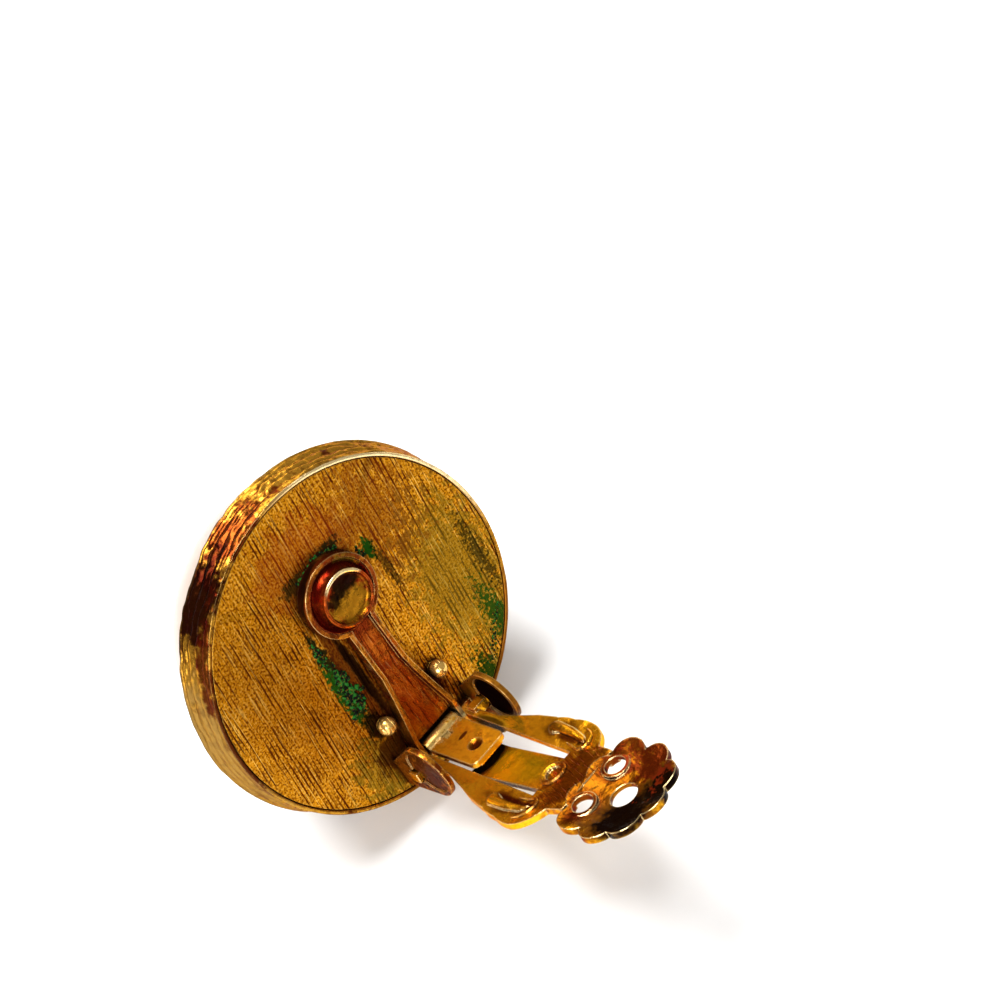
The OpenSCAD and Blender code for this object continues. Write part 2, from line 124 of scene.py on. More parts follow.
class Graph:
    """A node tree with short ways to add nodes and join them."""

    def __init__(self, tree: NodeTree) -> None:
        """Args: tree: the node tree to build in."""
        self.tree = tree

    def add(self, kind: str, *values: object, **settings: object) -> Node:
        """Adds a node.

        Args:
            kind: the node's type name.
            values: what its first inputs are fed with, in order.
            settings: values for the node's own properties.
        Returns: the node.
        """
        node = self.tree.nodes.new(kind)
        for name, setting in settings.items():
            setattr(node, name, setting)
        for socket, value in zip(node.inputs, values):
            self.feed(socket, value)
        return node

    def feed(self, socket: NodeSocket, value: object) -> None:
        """Links a socket to another one, or sets its own value.

        Args:
            socket: the input.
            value: the socket to link it to, or the value to set.
        """
        if isinstance(value, NodeSocket):
            self.tree.links.new(value, socket)
        else:
            socket.default_value = value

    def fill(self, node: Node, **values: object) -> Node:
        """Feeds a node's inputs by name.

        Args:
            node: the node.
            values: its inputs by name, with an underscore for each space.
        Returns: the same node.
        """
        for name, value in values.items():
            self.feed(node.inputs[name.replace("_", " ")], value)
        return node

    def math(self, operation: str, *values: object, clamp: bool = False) -> NodeSocket:
        """Returns: the output of a Math node fed with the values."""
        return self.add("ShaderNodeMath", *values, operation=operation, use_clamp=clamp).outputs[0]

    def times(self, first: object, second: object) -> NodeSocket:
        """Returns: the product of two numbers."""
        return self.math("MULTIPLY", first, second)

    def rest(self, value: object) -> NodeSocket:
        """Returns: one minus a number."""
        return self.math("SUBTRACT", 1.0, value)

    def vector(self, operation: str, *values: object) -> NodeSocket:
        """Returns: the vector output of a Vector Math node fed with the values."""
        return self.add("ShaderNodeVectorMath", *values, operation=operation).outputs["Vector"]

    def measure(self, operation: str, *values: object) -> NodeSocket:
        """Returns: the number that a Vector Math node makes of the values."""
        return self.add("ShaderNodeVectorMath", *values, operation=operation).outputs["Value"]

    def join(self, *values: object) -> NodeSocket:
        """Returns: a vector made of its X, Y and Z."""
        return self.add("ShaderNodeCombineXYZ", *values).outputs[0]

    def mix(self, amount: object, first: object, second: object) -> NodeSocket:
        """Mixes two colours.

        Args:
            amount: the second colour's share.
            first: the first colour.
            second: the second colour.
        Returns: the mixed colour.
        """
        node = self.add("ShaderNodeMix", data_type="RGBA")
        for place, value in ((0, amount), (6, first), (7, second)):
            self.feed(node.inputs[place], value)
        return node.outputs[2]

    def noise(
        self, position: object, scale: object, detail: float = 2.0, rough: float = 0.5,
    ) -> NodeSocket:
        """Adds a noise texture.

        Args:
            position: where it is read.
            scale: how many spots it has to a mm.
            detail: how many finer layers it has.
            rough: how strong the finer layers are.
        Returns: its value, from 0 to 1.
        """
        node = self.add("ShaderNodeTexNoise")
        self.fill(node, Vector=position, Scale=scale, Detail=detail, Roughness=rough)
        return node.outputs["Fac"]

    def step(self, value: object, low: object, high: object) -> NodeSocket:
        """Returns: a smooth step of a value from 0 at low to 1 at high."""
        node = self.add("ShaderNodeMapRange", interpolation_type="SMOOTHSTEP")
        return self.fill(node, Value=value, From_Min=low, From_Max=high).outputs["Result"]

    def group(self, tree: NodeTree, **values: object) -> NodeOutputs:
        """Places a node group.

        Args:
            tree: the group.
            values: its inputs by name, with an underscore for each space.
        Returns: the outputs of the group's node.
        """
        return self.fill(self.add("ShaderNodeGroup", node_tree=tree), **values).outputs


class EffectGroup:
    """A shared effect as a shader node group, built once."""

    def __init__(
        self, name: str, inputs: dict[str, float | None], numbers: tuple[str, ...],
        vectors: tuple[str, ...] = (),
    ) -> None:
        """Makes the group with its sockets.

        Args:
            name: the group's name.
            inputs: each input's own value by its name, or None for a vector.
            numbers: the names of the outputs that are numbers.
            vectors: the names of the outputs that are vectors.
        """
        self.tree = bpy.data.node_groups.new(name, "ShaderNodeTree")
        add_socket = self.tree.interface.new_socket
        for label, own in inputs.items():
            if own is None:
                add_socket(name=label, in_out="INPUT", socket_type="NodeSocketVector")
            else:
                add_socket(name=label, in_out="INPUT", socket_type="NodeSocketFloat").default_value = own
        for label in numbers:
            add_socket(name=label, in_out="OUTPUT", socket_type="NodeSocketFloat")
        for label in vectors:
            add_socket(name=label, in_out="OUTPUT", socket_type="NodeSocketVector")
        self.graph = Graph(self.tree)
        self.given = self.graph.add("NodeGroupInput").outputs
        self.end = self.graph.add("NodeGroupOutput")

    def result(self, **values: object) -> NodeTree:
        """Returns: the group, once its outputs are fed with the values."""
        self.graph.fill(self.end, **values)
        return self.tree


class Effects:
    """The shared effects of the earring's finishes, with lengths in mm."""

    def __init__(self) -> None:
        """Builds each effect once."""
        self.place = self._place()
        self.brushing = self._brushing()
        self.patch = self._patch()
        self.mottle = self._mottle()
        self.dents = self._dents()
        self.edges = self._edges()
        self.hollows = self._hollows()

    def _place(self) -> NodeTree:
        """Returns: a group that gives the surface point in the plate's frame, in mm."""
        effect = EffectGroup("plate frame", {}, (), ("Position",))
        g = effect.graph
        point = g.vector("MULTIPLY", g.add("ShaderNodeTexCoord").outputs["Object"], (1 / MM,) * 3)
        point = g.vector("SUBTRACT", point, tuple(POSE.shift()))
        turn = g.add("ShaderNodeVectorRotate", rotation_type="Y_AXIS")
        g.fill(turn, Vector=point, Angle=-POSE.lean())
        return effect.result(Position=turn.outputs["Vector"])

    def _brushing(self) -> NodeTree:
        """Returns: a group that gives fine brushed lines along x, from 0 in a line to 1."""
        effect = EffectGroup(
            "brushed lines",
            {"Position": None, "Angle": 0.0, "Spacing": 0.3, "Break": 4.0, "Waver": 0.4},
            ("Lines", "Scratches"),
        )
        g, given = effect.graph, effect.given
        streak_packing, scratch_packing = 1.3, (1.7, 2.3, 1.0)
        wave_share, worn_off_share = 0.17, 0.16
        wander_grain, worn_grain = 0.5, 0.45
        worn_edges, line_edges, scratch_edges = (0.4, 0.62), (0.32, 0.52), (0.56, 0.72)
        turn = g.add("ShaderNodeVectorRotate", rotation_type="Z_AXIS")
        turned = g.fill(turn, Vector=given["Position"], Angle=given["Angle"]).outputs["Vector"]
        parts = g.add("ShaderNodeSeparateXYZ", turned).outputs
        along = g.math("DIVIDE", parts["X"], given["Break"])
        across = g.math("DIVIDE", parts["Y"], given["Spacing"])
        wander = g.noise(turned, wander_grain, detail=1.0)
        phase = g.math("ADD", across, g.times(wander, given["Waver"]))
        wave = g.math("SINE", g.times(phase, math.tau))
        streak_at = g.join(along, g.times(across, streak_packing))
        line = g.math("MULTIPLY_ADD", wave, wave_share, g.noise(streak_at, 1.0, rough=0.6))
        kept = g.step(g.noise(turned, worn_grain, detail=3.0, rough=0.6), *worn_edges)
        line = g.math("ADD", line, g.times(g.rest(kept), worn_off_share))
        scratch = g.noise(g.vector("MULTIPLY", streak_at, scratch_packing), 1.0)
        return effect.result(Lines=g.step(line, *line_edges), Scratches=g.step(scratch, *scratch_edges))

    def _patch(self) -> NodeTree:
        """Returns: a group that gives one ragged oval patch, 1 inside and 0 outside."""
        effect = EffectGroup(
            "ragged patch",
            {"Position": None, "Centre": None, "Radii": None, "Ragged": 0.6, "Grain": 1.2}, ("Mask",),
        )
        g, given = effect.graph, effect.given
        middle, ragged_reach, edges = 0.5, 3.0, (0.55, 1.0)
        away = g.vector("SUBTRACT", given["Position"], given["Centre"])
        offset = g.vector("DIVIDE", away, given["Radii"])
        spots = g.noise(given["Position"], given["Grain"], detail=4.0, rough=0.65)
        spots = g.math("SUBTRACT", spots, middle)
        uneven = g.times(given["Ragged"], ragged_reach)
        reach = g.math("MULTIPLY_ADD", spots, uneven, g.measure("LENGTH", offset))
        return effect.result(Mask=g.rest(g.step(reach, *edges)))

    def _mottle(self) -> NodeTree:
        """Returns: a group that gives scattered tarnish, dark specks and bright glints."""
        effect = EffectGroup(
            "tarnish", {"Position": None, "Size": 1.0, "Amount": 0.4, "Speck Size": 0.35},
            ("Mask", "Specks", "Glints"),
        )
        g, given = effect.graph, effect.given
        clean_limit, amount_share, soft_edge = 0.78, 0.5, 0.16
        speck_edges, glint_edges = (0.5, 0.62), (0.36, 0.46)
        cloud_scale = g.math("DIVIDE", 1.0, given["Size"])
        cloud = g.noise(given["Position"], cloud_scale, detail=5.0, rough=0.62)
        low = g.math("SUBTRACT", clean_limit, g.times(given["Amount"], amount_share))
        grain = g.noise(given["Position"], g.math("DIVIDE", 1.0, given["Speck Size"]), rough=0.6)
        return effect.result(
            Mask=g.step(cloud, low, g.math("ADD", low, soft_edge)),
            Specks=g.step(grain, *speck_edges),
            Glints=g.rest(g.step(grain, *glint_edges)),
        )

    def _dents(self) -> NodeTree:
        """Returns: a group that gives the height of soft dents and ripples, from 0 to 1."""
        effect = EffectGroup("dents", {"Position": None, "Size": 1.0}, ("Height",))
        g, given = effect.graph, effect.given
        fine_share, fine_packing = 0.18, 4.0
        scale = g.math("DIVIDE", 1.0, given["Size"])
        broad = g.noise(given["Position"], scale, detail=1.0, rough=0.4)
        fine = g.noise(given["Position"], g.times(scale, fine_packing), detail=3.0, rough=0.6)
        return effect.result(Height=g.math("MULTIPLY_ADD", fine, fine_share, broad))

    def _edges(self) -> NodeTree:
        """Returns: a group that gives the worn edges, from 0 on flat metal to 1."""
        effect = EffectGroup("edge wear", {"Width": 0.1 * MM}, ("Wear",), ("Rounded",))
        g = effect.graph
        wear_edges = (0.01, 0.12)
        rounded = g.add("ShaderNodeBevel", samples=4)
        g.fill(rounded, Radius=effect.given["Width"])
        true_normal = g.add("ShaderNodeNewGeometry").outputs["Normal"]
        agreement = g.measure("DOT_PRODUCT", rounded.outputs["Normal"], true_normal)
        wear = g.step(g.rest(agreement), *wear_edges)
        return effect.result(Wear=wear, Rounded=rounded.outputs["Normal"])

    def _hollows(self) -> NodeTree:
        """Returns: a group that gives how deep a point lies in a corner, from 0 in the open to 1; the
        finishes darken corners by it, painted shade along with dark tarnish.
        """
        effect = EffectGroup("hollows", {"Reach": 0.8 * MM}, ("Mask",))
        g = effect.graph
        open_edges = (0.3, 0.92)
        shade = g.add("ShaderNodeAmbientOcclusion", samples=6)
        g.fill(shade, Distance=effect.given["Reach"])
        return effect.result(Mask=g.rest(g.step(shade.outputs["AO"], *open_edges)))


# Finishes


def blank_material(name: str) -> tuple[Material, Graph, Node]:
    """Makes a new material.

    Args:
        name: its name.
    Returns: the material, its graph and its Principled shader.
    """
    made = bpy.data.materials.new(name)
    made.use_nodes = True
    return made, Graph(made.node_tree), made.node_tree.nodes["Principled BSDF"]


@dataclass
class Skin:
    """A finish while it is built up: each field is a number, a colour or the socket that gives it."""

    graph: Graph
    effects: Effects
    place: NodeSocket
    colour: object
    height: object
    rough: object
    soot_and_shade: object = 0.0

    def tint(self, mask: object, share: float, colour: Colour) -> None:
        """Mixes a share of a colour in where a mask is 1."""
        g = self.graph
        self.colour = g.mix(g.times(mask, share), self.colour, colour)


@dataclass(frozen=True)
class TintPatch:
    """One patch of colour at a place of the plate's frame, in mm: some are stains, some painted highlights
    and painted shade.

    ragged is how uneven its outline is, grain the number of its spots to a mm, dull what it adds
    to the roughness, strength how much it covers, and soot_and_shade how far it hides the metal's shine,
    for dark corrosion and for black painted shade.
    """

    centre: Place
    radii: Place
    colour: Colour
    ragged: float = 0.5
    grain: float = 1.2
    dull: float = 0.5
    strength: float = 1.0
    soot_and_shade: float = 0.0

    def mask(self, skin: Skin) -> NodeSocket:
        """Places the ragged patch.

        Args:
            skin: the skin that the patch lies on.
        Returns: how much of the patch covers each point.
        """
        patch = skin.graph.group(
            skin.effects.patch, Position=skin.place, Centre=self.centre, Radii=self.radii,
            Ragged=self.ragged, Grain=self.grain,
        )
        return skin.graph.times(patch["Mask"], self.strength)

    def cover(self, skin: Skin) -> None:
        """Lays the patch on a skin.

        Args:
            skin: the skin to cover.
        """
        g, mask = skin.graph, self.mask(skin)
        if self.soot_and_shade > 0:
            skin.soot_and_shade = g.math("MAXIMUM", g.times(mask, self.soot_and_shade), skin.soot_and_shade)
        skin.colour = g.mix(mask, skin.colour, self.colour)
        skin.rough = g.math("MULTIPLY_ADD", mask, self.dull, skin.rough, clamp=True)


@dataclass(frozen=True)
class GiltFinish:
    """Worn gilt metal: its colours, roughness, brushing, dents, and patches of stain, painted highlight
    and painted shade.
    """

    name: str
    bright: Colour
    deep: Colour
    worn: Colour
    roughness: float = 0.26
    tarnish_size: float = 1.6
    tarnish: float = 0.4
    tarnish_dull: float = 0.16
    line_angle: float = 0.0
    line_depth: float = 0.0
    line_spacing: float = 0.3
    line_break: float = 4.0
    line_waver: float = 0.4
    line_share: float = 0.72
    scratch_share: float = 0.5
    line_place: TintPatch | None = None
    line_upright: bool = True
    hollow: Colour = (0.05, 0.008, 0.003, 1)
    hollow_reach: float = 0.8
    hollow_share: float = 0.9
    dent_size: float = 1.2
    dent_depth: float = 0.05
    edge_width: float = 0.1
    edge_share: float = 0.7
    speck_share: float = 0.4
    speck_size: float = 0.35
    glint_share: float = 0.0
    metal: float = 0.8
    shine: float = 0.5
    tint_patches: tuple[TintPatch, ...] = ()

    def brush(self, skin: Skin) -> None:
        """Adds the brushed lines and the scratches.

        Args:
            skin: the skin to brush.
        """
        g, lined, share = skin.graph, skin.place, 1.0
        if self.line_place:
            share = self.line_place.mask(skin)
            if self.line_upright:
                parts = g.add("ShaderNodeSeparateXYZ", skin.place).outputs
                lined = g.join(parts["Z"], parts["Y"], parts["X"])
        brushing = g.group(
            skin.effects.brushing, Position=lined, Angle=self.line_angle,
            Spacing=self.line_spacing, Break=self.line_break, Waver=self.line_waver,
        )
        line = g.times(g.rest(brushing["Lines"]), share)
        skin.tint(line, self.line_share, self.deep)
        skin.tint(g.times(brushing["Scratches"], share), self.scratch_share, self.worn)
        skin.height = g.math("MULTIPLY_ADD", line, -self.line_depth, skin.height)

    def material(self, effects: Effects) -> Material:
        """Builds the material.

        Args:
            effects: the shared effects.
        Returns: the material.
        """
        made, g, shader = blank_material(self.name)
        place = g.group(effects.place)["Position"]
        mottle = g.group(
            effects.mottle, Position=place, Size=self.tarnish_size, Amount=self.tarnish,
            Speck_Size=self.speck_size,
        )
        dents = g.group(effects.dents, Position=place, Size=self.dent_size)
        skin = Skin(
            g, effects, place, g.mix(mottle["Mask"], self.bright, self.deep),
            g.times(dents["Height"], self.dent_depth),
            g.math("MULTIPLY_ADD", mottle["Mask"], self.tarnish_dull, self.roughness),
        )
        skin.tint(mottle["Specks"], self.speck_share, self.deep)
        if self.glint_share > 0:
            skin.tint(mottle["Glints"], self.glint_share, self.worn)
        if self.line_depth > 0:
            self.brush(skin)
        for tint_patch in self.tint_patches:
            tint_patch.cover(skin)
        edges = g.group(effects.edges, Width=self.edge_width * MM)
        # Corners are darkened by occlusion: painted shade, along with dark tarnish in the hollows.
        hollows = g.group(effects.hollows, Reach=self.hollow_reach * MM)
        skin.tint(hollows["Mask"], self.hollow_share, self.hollow)
        skin.tint(edges["Wear"], self.edge_share, self.worn)
        bump = g.fill(
            g.add("ShaderNodeBump"), Strength=1.0, Distance=MM, Height=skin.height,
            Normal=edges["Rounded"],
        )
        # Where soot_and_shade lies the metal loses its shine, except on worn edges: dark corrosion, and
        # black painted shade.
        shine_left = g.rest(g.times(skin.soot_and_shade, g.rest(edges["Wear"])))
        g.fill(
            shader, Base_Color=skin.colour, Specular_Tint=skin.colour, Roughness=skin.rough,
            Metallic=g.times(shine_left, self.metal), Specular_IOR_Level=g.times(shine_left, self.shine),
            Normal=bump.outputs["Normal"],
        )
        return made


@dataclass(frozen=True)
class PearlFinish:
    """The dome's cream pearl-like plastic."""

    name: str = "cream pearl"
    cream: Colour = (0.37, 0.28, 0.215, 1)
    blush: Colour = (0.31, 0.22, 0.17, 1)
    cloud_grain: float = 0.16
    cloud_edges: tuple[float, float] = (0.35, 0.68)
    speck_share: float = 0.12
    dent_size: float = 5.0
    dent_depth: float = 0.03
    roughness: float = 0.3
    coat: float = 0.25
    coat_roughness: float = 0.15

    def material(self, effects: Effects) -> Material:
        """Builds the material.

        Args:
            effects: the shared effects.
        Returns: the material.
        """
        made, g, shader = blank_material(self.name)
        place = g.group(effects.place)["Position"]
        cloud = g.step(g.noise(place, self.cloud_grain, detail=3.0, rough=0.55), *self.cloud_edges)
        specks = g.group(effects.mottle, Position=place)["Specks"]
        colour = g.mix(cloud, self.cream, self.blush)
        colour = g.mix(g.times(specks, self.speck_share), colour, self.blush)
        dents = g.group(effects.dents, Position=place, Size=self.dent_size)["Height"]
        bump = g.fill(g.add("ShaderNodeBump"), Distance=self.dent_depth * MM, Height=dents)
        g.fill(
            shader, Base_Color=colour, Normal=bump.outputs["Normal"], Roughness=self.roughness,
            Coat_Weight=self.coat, Coat_Roughness=self.coat_roughness,
        )
        return made


@dataclass(frozen=True)
class CrustFinish:
    """Green copper corrosion that stands on the plate."""

    name: str = "green corrosion"
    green: Colour = (0.022, 0.15, 0.022, 1)
    black: Colour = (0.004, 0.006, 0.003, 1)
    ochre: Colour = (0.2, 0.12, 0.012, 1)
    green_grain: float = 4.0
    green_edges: tuple[float, float] = (0.46, 0.58)
    ochre_grain: float = 7.0
    ochre_edges: tuple[float, float] = (0.58, 0.66)
    ochre_share: float = 0.6
    roughness: float = 0.8
    shine: float = 0.15

    def material(self, effects: Effects) -> Material:
        """Builds the material.

        Args:
            effects: the shared effects.
        Returns: the material.
        """
        made, g, shader = blank_material(self.name)
        place = g.group(effects.place)["Position"]
        green = g.step(g.noise(place, self.green_grain, detail=3.0), *self.green_edges)
        ochre = g.step(g.noise(place, self.ochre_grain), *self.ochre_edges)
        colour = g.mix(green, self.black, self.green)
        colour = g.mix(g.times(ochre, self.ochre_share), colour, self.ochre)
        g.fill(shader, Base_Color=colour, Roughness=self.roughness, Specular_IOR_Level=self.shine)
        return made


GOLD: Colour = (0.58, 0.28, 0.04, 1)
PALE_GOLD: Colour = (0.9, 0.66, 0.3, 1)
DEEP_RED: Colour = (0.07, 0.008, 0.003, 1)
OLIVE: Colour = (0.17, 0.13, 0.012, 1)
BLACK_GREEN: Colour = (0.012, 0.016, 0.004, 1)
GREEN: Colour = (0.023, 0.1, 0.01, 1)
BLACK: Colour = (0.006, 0.002, 0.001, 1)

PLATE_FINISH = GiltFinish(
    name="brushed ochre gilt", bright=(0.6, 0.255, 0.009, 1), deep=(0.085, 0.013, 0.002, 1),
    worn=(0.95, 0.6, 0.14, 1),
    roughness=0.34, tarnish_size=3.2, tarnish=0.2, line_angle=math.radians(5), line_depth=0.03,
    line_spacing=0.32, line_break=6.0, dent_size=2.0, dent_depth=0.04, edge_width=0.1, edge_share=0.6,
    hollow_reach=0.7, speck_share=0.82, speck_size=0.17, glint_share=0.4,
    scratch_share=0.75, line_share=0.95,
    tint_patches=(
        # Red, ochre and olive clouds.
        TintPatch((-7.5, -0.5, 0), (3.8, 5.2, 2), (0.3, 0.05, 0.006, 1), 0.5, 1.1, 0.05, 0.5),
        TintPatch((2.5, 8.2, 0), (8.5, 4.6, 2), OLIVE, 1.0, 1.6, 0.08, 0.55),
        TintPatch((-6.0, 5.5, 0), (5.5, 4.0, 2), (0.2, 0.045, 0.005, 1), 1.3, 1.6, 0.05, 0.5),
        TintPatch((8.6, -4.2, 0), (3.4, 3.0, 2), OLIVE, 0.9, 1.6, 0.08, 0.6),
        TintPatch((10.6, 1.5, 0), (1.9, 8.0, 2), OLIVE, 0.9, 1.3, 0.08, 0.5),
        TintPatch((0.0, -8.5, 0), (9.5, 3.6, 2), (0.22, 0.075, 0.006, 1), 1.2, 1.3, 0.05, 0.22),
        # Green and black along the arm, round the pad and at the far edge.
        TintPatch((1.0, -3.3, 0), (5.2, 0.75, 2), BLACK_GREEN, 0.9, 2.2, 0.4, 0.97, 0.7),
        TintPatch((2.2, -3.7, 0), (3.4, 0.6, 2), GREEN, 1.0, 3.2, 0.4),
        TintPatch((-4.4, 3.9, 0), (1.1, 0.5, 2), GREEN, 1.0, 3.4, 0.4),
        TintPatch((-2.4, 4.3, 0), (2.4, 0.4, 2), BLACK_GREEN, 1.4, 3.4, 0.3, 0.7),
        TintPatch((-6.7, 0.9, 0), (0.7, 2.0, 2), BLACK_GREEN, 0.7, 2.6, 0.4, 0.95, 0.6),
        TintPatch((-6.6, -1.8, 0), (0.8, 1.6, 2), BLACK_GREEN, 0.8, 2.6, 0.3, 0.85, 0.5),
        TintPatch((7.2, 8.9, 0), (3.4, 0.9, 2), GREEN, 1.6, 3.4, 0.4, 0.9),
        TintPatch((9.8, 6.0, 0), (1.9, 0.8, 2), GREEN, 1.6, 3.4, 0.4, 0.9),
        TintPatch((2.5, 10.4, 0), (3.8, 0.6, 2), BLACK_GREEN, 1.7, 3.4, 0.3, 0.7),
        # Painted shade beside the arm with a painted black shadow line along it, painted shade round the
        # stop balls, and a dark patch by the near ear.
        TintPatch((1.6, -2.35, 0), (6.4, 0.8, 2), (0.1, 0.02, 0.004, 1), 0.3, 0.9, 0.1, 0.8),
        TintPatch((6.7, 2.3, 0), (1.3, 1.2, 0.5), (0.07, 0.01, 0.003, 1), 0.5, 1.6, 0.1, 0.9),
        TintPatch((5.7, -3.2, 0), (1.5, 1.1, 0.5), BLACK, 0.5, 1.6, 0.1, 0.9),
        TintPatch((2.3, -1.85, 0), (5.6, 0.5, 2), BLACK, 0.25, 1.2, 0.1, 0.95, 0.9),
        TintPatch((8.3, -3.2, 0), (1.7, 1.9, 2), (0.05, 0.01, 0.003, 1), 0.6, 1.4, 0.1, 0.8),
        # The two bright stop balls.
        TintPatch((6.1, 2.72, 0.85), (1.3, 1.3, 0.85), (0.85, 0.55, 0.18, 1), 0.0, 1.0, -0.18),
        TintPatch((6.1, -2.72, 0.85), (1.3, 1.3, 0.85), (0.85, 0.55, 0.18, 1), 0.0, 1.0, -0.18),
    ),
)
BAND_FINISH = GiltFinish(
    name="barked pale gilt", bright=(0.5, 0.26, 0.035, 1), deep=(0.13, 0.035, 0.006, 1), worn=PALE_GOLD,
    roughness=0.26, tarnish_size=1.4, tarnish=0.48, dent_size=0.6, dent_depth=0.05, edge_width=0.08,
    edge_share=0.5, hollow=(0.05, 0.01, 0.003, 1), hollow_reach=0.5,
    tint_patches=(
        # The pale lower part is a painted reflection of the floor; then painted shade on the left part,
        # and a dark line inside it.
        TintPatch((0.0, -12.4, -1.6), (8.5, 4.5, 2.9), (0.34, 0.205, 0.06, 1), 0.5, 0.7, 0.12, 0.85),
        TintPatch((-12.1, -3.2, -1.3), (2.6, 4.2, 1.9), (0.12, 0.014, 0.004, 1), 0.9, 0.9, 0.0, 0.88),
        TintPatch((-10.4, -7.3, -1.8), (4.2, 5.0, 2.5), (0.03, 0.004, 0.002, 1), 0.6, 0.9, 0.0, 0.97),
        TintPatch((-7.6, -10.0, -0.5), (4.6, 3.6, 0.75), (0.11, 0.013, 0.004, 1), 0.9, 0.9, 0.0, 0.85),
        # The lip: a painted highlight above, duller at the right, and a painted shadow below.
        TintPatch((-8.0, 8.0, 0.05), (10.5, 10.5, 0.34), (0.97, 0.76, 0.42, 1), 0.05, 0.9, 0.0, 0.95),
        TintPatch((9.0, 5.0, 0.0), (7.5, 13.0, 0.5), (0.22, 0.08, 0.01, 1), 0.3, 0.9, 0.05, 0.9),
        TintPatch((-3.0, -12.3, 0.0), (8.0, 2.4, 0.25), (0.09, 0.014, 0.004, 1), 0.8, 0.9, 0.05, 0.9),
    ),
)
RIVET_FINISH = GiltFinish(
    name="tarnished rivet gilt", bright=(0.34, 0.07, 0.01, 1), deep=DEEP_RED, worn=PALE_GOLD,
    roughness=0.18, tarnish_size=1.2, tarnish=0.6, dent_size=0.8, dent_depth=0.09, edge_width=0.12,
    hollow=(0.16, 0.022, 0.004, 1), hollow_reach=0.3,
    tint_patches=(
        # The red foot, the ochre face with painted shade on its -x inside and a black mark, and a painted
        # highlight on the rim's -x side.
        TintPatch((-4.0, 0, 0.9), (3.4, 3.4, 0.9), (0.16, 0.009, 0.004, 1), 0.5, 1.0, 0.0, 0.93),
        TintPatch((-3.4, 0.0, 1.6), (2.1, 2.2, 0.4), (0.34, 0.17, 0.012, 1), 0.6, 1.5, 0.1, 0.9),
        TintPatch((-5.0, 0.5, 1.58), (1.2, 1.6, 0.4), BLACK, 0.5, 1.5, 0.0, 0.95, 0.5),
        TintPatch((-4.6, -1.0, 1.58), (0.8, 0.7, 0.4), BLACK, 1.0, 2.4, 0.0, 0.9, 0.3),
        TintPatch((-5.6, 0.6, 1.85), (1.1, 2.1, 0.24), (0.95, 0.78, 0.42, 1), 0.2, 1.2, -0.06, 0.95),
    ),
)
BRACKET_FINISH = GiltFinish(
    name="tarnished clip gilt", bright=(0.56, 0.24, 0.025, 1), deep=(0.13, 0.02, 0.003, 1), worn=PALE_GOLD,
    roughness=0.18, tarnish_size=1.7, tarnish=0.46, dent_size=1.3, dent_depth=0.14, edge_width=0.12,
    line_depth=0.05, line_spacing=0.5, line_break=3.4, line_waver=1.4, scratch_share=0.6,
    line_place=TintPatch((2.6, 0, 0.5), (9.6, 2.2, 0.9), GOLD, 0.3, 0.9), line_upright=False,
    tint_patches=(
        # The red arm, and the pad with green at its edge and black beside it.
        TintPatch((2.6, 0, 0.5), (8.6, 2.1, 0.72), (0.36, 0.062, 0.008, 1), 0.7, 0.8, 0.0, 0.7),
        TintPatch((-5.5, 1.6, 0.9), (1.5, 2.0, 0.6), (0.14, 0.13, 0.015, 1), 0.7, 1.5, 0.1, 0.8),
        TintPatch((-4.0, 0, 0.6), (4.8, 4.8, 1.2), (0.17, 0.024, 0.006, 1), 0.5, 0.9, 0.0, 0.88),
        TintPatch((-5.9, -1.7, 0.42), (2.5, 3.0, 0.62), BLACK, 0.3, 1.2, 0.1, 0.97, 0.8),
        # Black painted shade over the far ear; then the dark near ear, and the far ear's root.
        TintPatch((8.7, 3.6, 3.9), (2.9, 1.1, 2.9), BLACK, 0.05, 0.8, 0.2, 1.0, 1.0),
        TintPatch((8.7, -3.6, 3.9), (2.9, 1.1, 2.9), (0.12, 0.018, 0.004, 1), 1.0, 1.6, 0.1, 0.92, 0.3),
        TintPatch((8.9, 3.5, 0.9), (2.1, 0.8, 1.3), (0.36, 0.15, 0.01, 1), 0.3, 0.9, 0.15, 0.85),
        TintPatch((9.4, 2.0, 0.9), (0.7, 0.6, 0.8), (0.6, 0.52, 0.26, 1), 0.6, 1.6, 0.2),
    ),
)
PAD_FINISH = GiltFinish(
    name="red pad gilt", bright=(0.16, 0.01, 0.004, 1), deep=DEEP_RED, worn=(0.7, 0.34, 0.08, 1),
    roughness=0.2, tarnish_size=1.4, tarnish=0.42, dent_size=0.8, dent_depth=0.08, edge_width=0.1,
    hollow=(0.16, 0.022, 0.004, 1), hollow_reach=0.3,
    tint_patches=(TintPatch((-5.6, 1.8, 0.9), (1.4, 1.6, 0.6), (0.2, 0.16, 0.015, 1), 0.8, 1.5, 0.1, 0.7),),
)
LINK_FINISH = GiltFinish(
    name="ochre link gilt", bright=(0.86, 0.41, 0.022, 1), deep=(0.3, 0.07, 0.006, 1), worn=PALE_GOLD,
    roughness=0.2, tarnish_size=2.0, tarnish=0.3, dent_size=1.5, dent_depth=0.12, edge_width=0.2,
    edge_share=0.95, metal=0.7, speck_share=0.25,
    tint_patches=(
        # The pale eye, the dark slot and the dimple.
        TintPatch((9.6, 0, 0.9), (1.1, 3.2, 1.0), (0.8, 0.56, 0.2, 1), 0.9, 2.2, 0.1, 0.9),
        TintPatch((9.5, 0, 4.7), (0.4, 0.7, 0.75), (0.1, 0.012, 0.003, 1), 0.15, 1.0, 0.0, 0.95),
        TintPatch((9.5, 0.3, 3.05), (0.8, 0.62, 0.26), (0.07, 0.012, 0.003, 1), 0.1, 1.0, 0.0, 0.95, 0.5),
    ),
)
